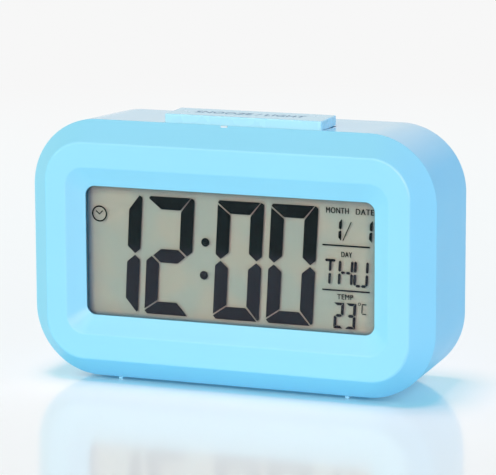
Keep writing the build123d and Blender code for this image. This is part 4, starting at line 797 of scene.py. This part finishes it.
# Painted light and shadow: the table's glow lifts its shadows, and drops to a painted contact shadow under
# the clock.
glow_with_painted_shadow = between(tree, spread(tree, away, 0, 1, 0, PAINTED_SHADOW_FADE * MM), PAINTED_SHADOW_UNDER_CLOCK, PAINTED_TABLE_GLOW)
tree.links.new(glow_with_painted_shadow, shader.inputs["Emission Color"])
shader.inputs["Emission Strength"].default_value = 1.0
distance = node(tree, "VectorMath", {0: place_on_piece(tree)}, operation="LENGTH").outputs["Value"]
backdrop = node(tree, "Emission", {"Color": STUDIO_WHITE})
sweep = blended(tree, spread(tree, distance, 0, 1, WHITE_FROM, WHITE_AT), shader, backdrop)
# Painted bounce light: the soft light the table sends up is tinted blue and lifted by a blue glow.
painted_bounce = node(tree, "AddShader")
tree.links.new(node(tree, "BsdfDiffuse", {"Color": PAINTED_BOUNCE_TINT}).outputs[0], painted_bounce.inputs[0])
tree.links.new(node(tree, "Emission", {"Color": PAINTED_BOUNCE_GLOW}).outputs[0], painted_bounce.inputs[1])
surface = blended(tree, seen_or_mirrored(tree), painted_bounce, sweep)
tree.links.new(surface.outputs[0], tree.nodes["Material Output"].inputs["Surface"])
table_data.materials.append(gloss_white)

# %% World
AMBIENT = (0.0, 0.28, 0.365, 1)
world = bpy.data.worlds.new("studio")
bpy.context.scene.world = world
world.use_nodes = True
tree = world.node_tree
shed = tree.nodes["Background"]
shed.inputs["Color"].default_value = AMBIENT
shown = node(tree, "Background", {"Color": STUDIO_WHITE})
surface = blended(tree, seen_or_mirrored(tree), shed, shown)
tree.links.new(surface.outputs[0], tree.nodes["World Output"].inputs["Surface"])

# %% [markdown]
# The lamps are suns with a wide angle, which light as evenly as large softboxes far away. The keys
# stand in front and to the left, a broad fill is near the camera, and weak ones come from the right
# and from behind. Their tints stand for the colours that the surfaces of a real room lend to light;
# under white lamps alone, the case's shaded facets would look greyer than they do. One more lamp
# shines straight down on the table alone, which keeps it white close up to the clock without lighting
# the clock from above. Light linking does that: a lamp lights only what its collection lets it.

# %% Lamps
def softbox(name, azimuth, elevation, level, angle, tint):
    """A soft lamp. A level of 1 shows a white card that faces it at full white."""
    lamp = bpy.data.lights.new(name, "SUN")
    lamp.energy = level * pi
    lamp.angle = radians(angle)
    lamp.color = tint
    holder = bpy.data.objects.new(name, lamp)
    bpy.context.scene.collection.objects.link(holder)
    holder.rotation_mode = "QUATERNION"
    holder.rotation_quaternion = towards(radians(azimuth), radians(elevation)).to_track_quat("Z", "Y")
    return holder


# Each has its azimuth from the front, elevation, level, angle across and tint.
clock_lamps = (softbox("left_key", -48, 10, 0.115, 25, (0.8, 1, 0.6)),
               softbox("high_key", -15, 30, 0.263, 25, (0.88, 1, 0.78)),
               softbox("front_fill", 15, 8, 0.71, 40, (1, 0.505, 0.575)),
               softbox("right_fill", 105, 8, 0.265, 40, (0.24, 0.53, 1)),
               softbox("back_light", 180, 45, 0.165, 40, (0.3, 0.59, 1)))
table_light = softbox("table_light", -80, 85, 0.62, 22, (1, 0.5, 0.39))
for reach, lamps, state in (("clock_only", clock_lamps, "EXCLUDE"),
                            ("table_only", (table_light,), "INCLUDE")):
    linked = bpy.data.collections.new(reach)
    linked.objects.link(table)
    linked.collection_objects[0].light_linking.link_state = state
    for lamp in lamps:
        lamp.light_linking.receiver_collection = linked
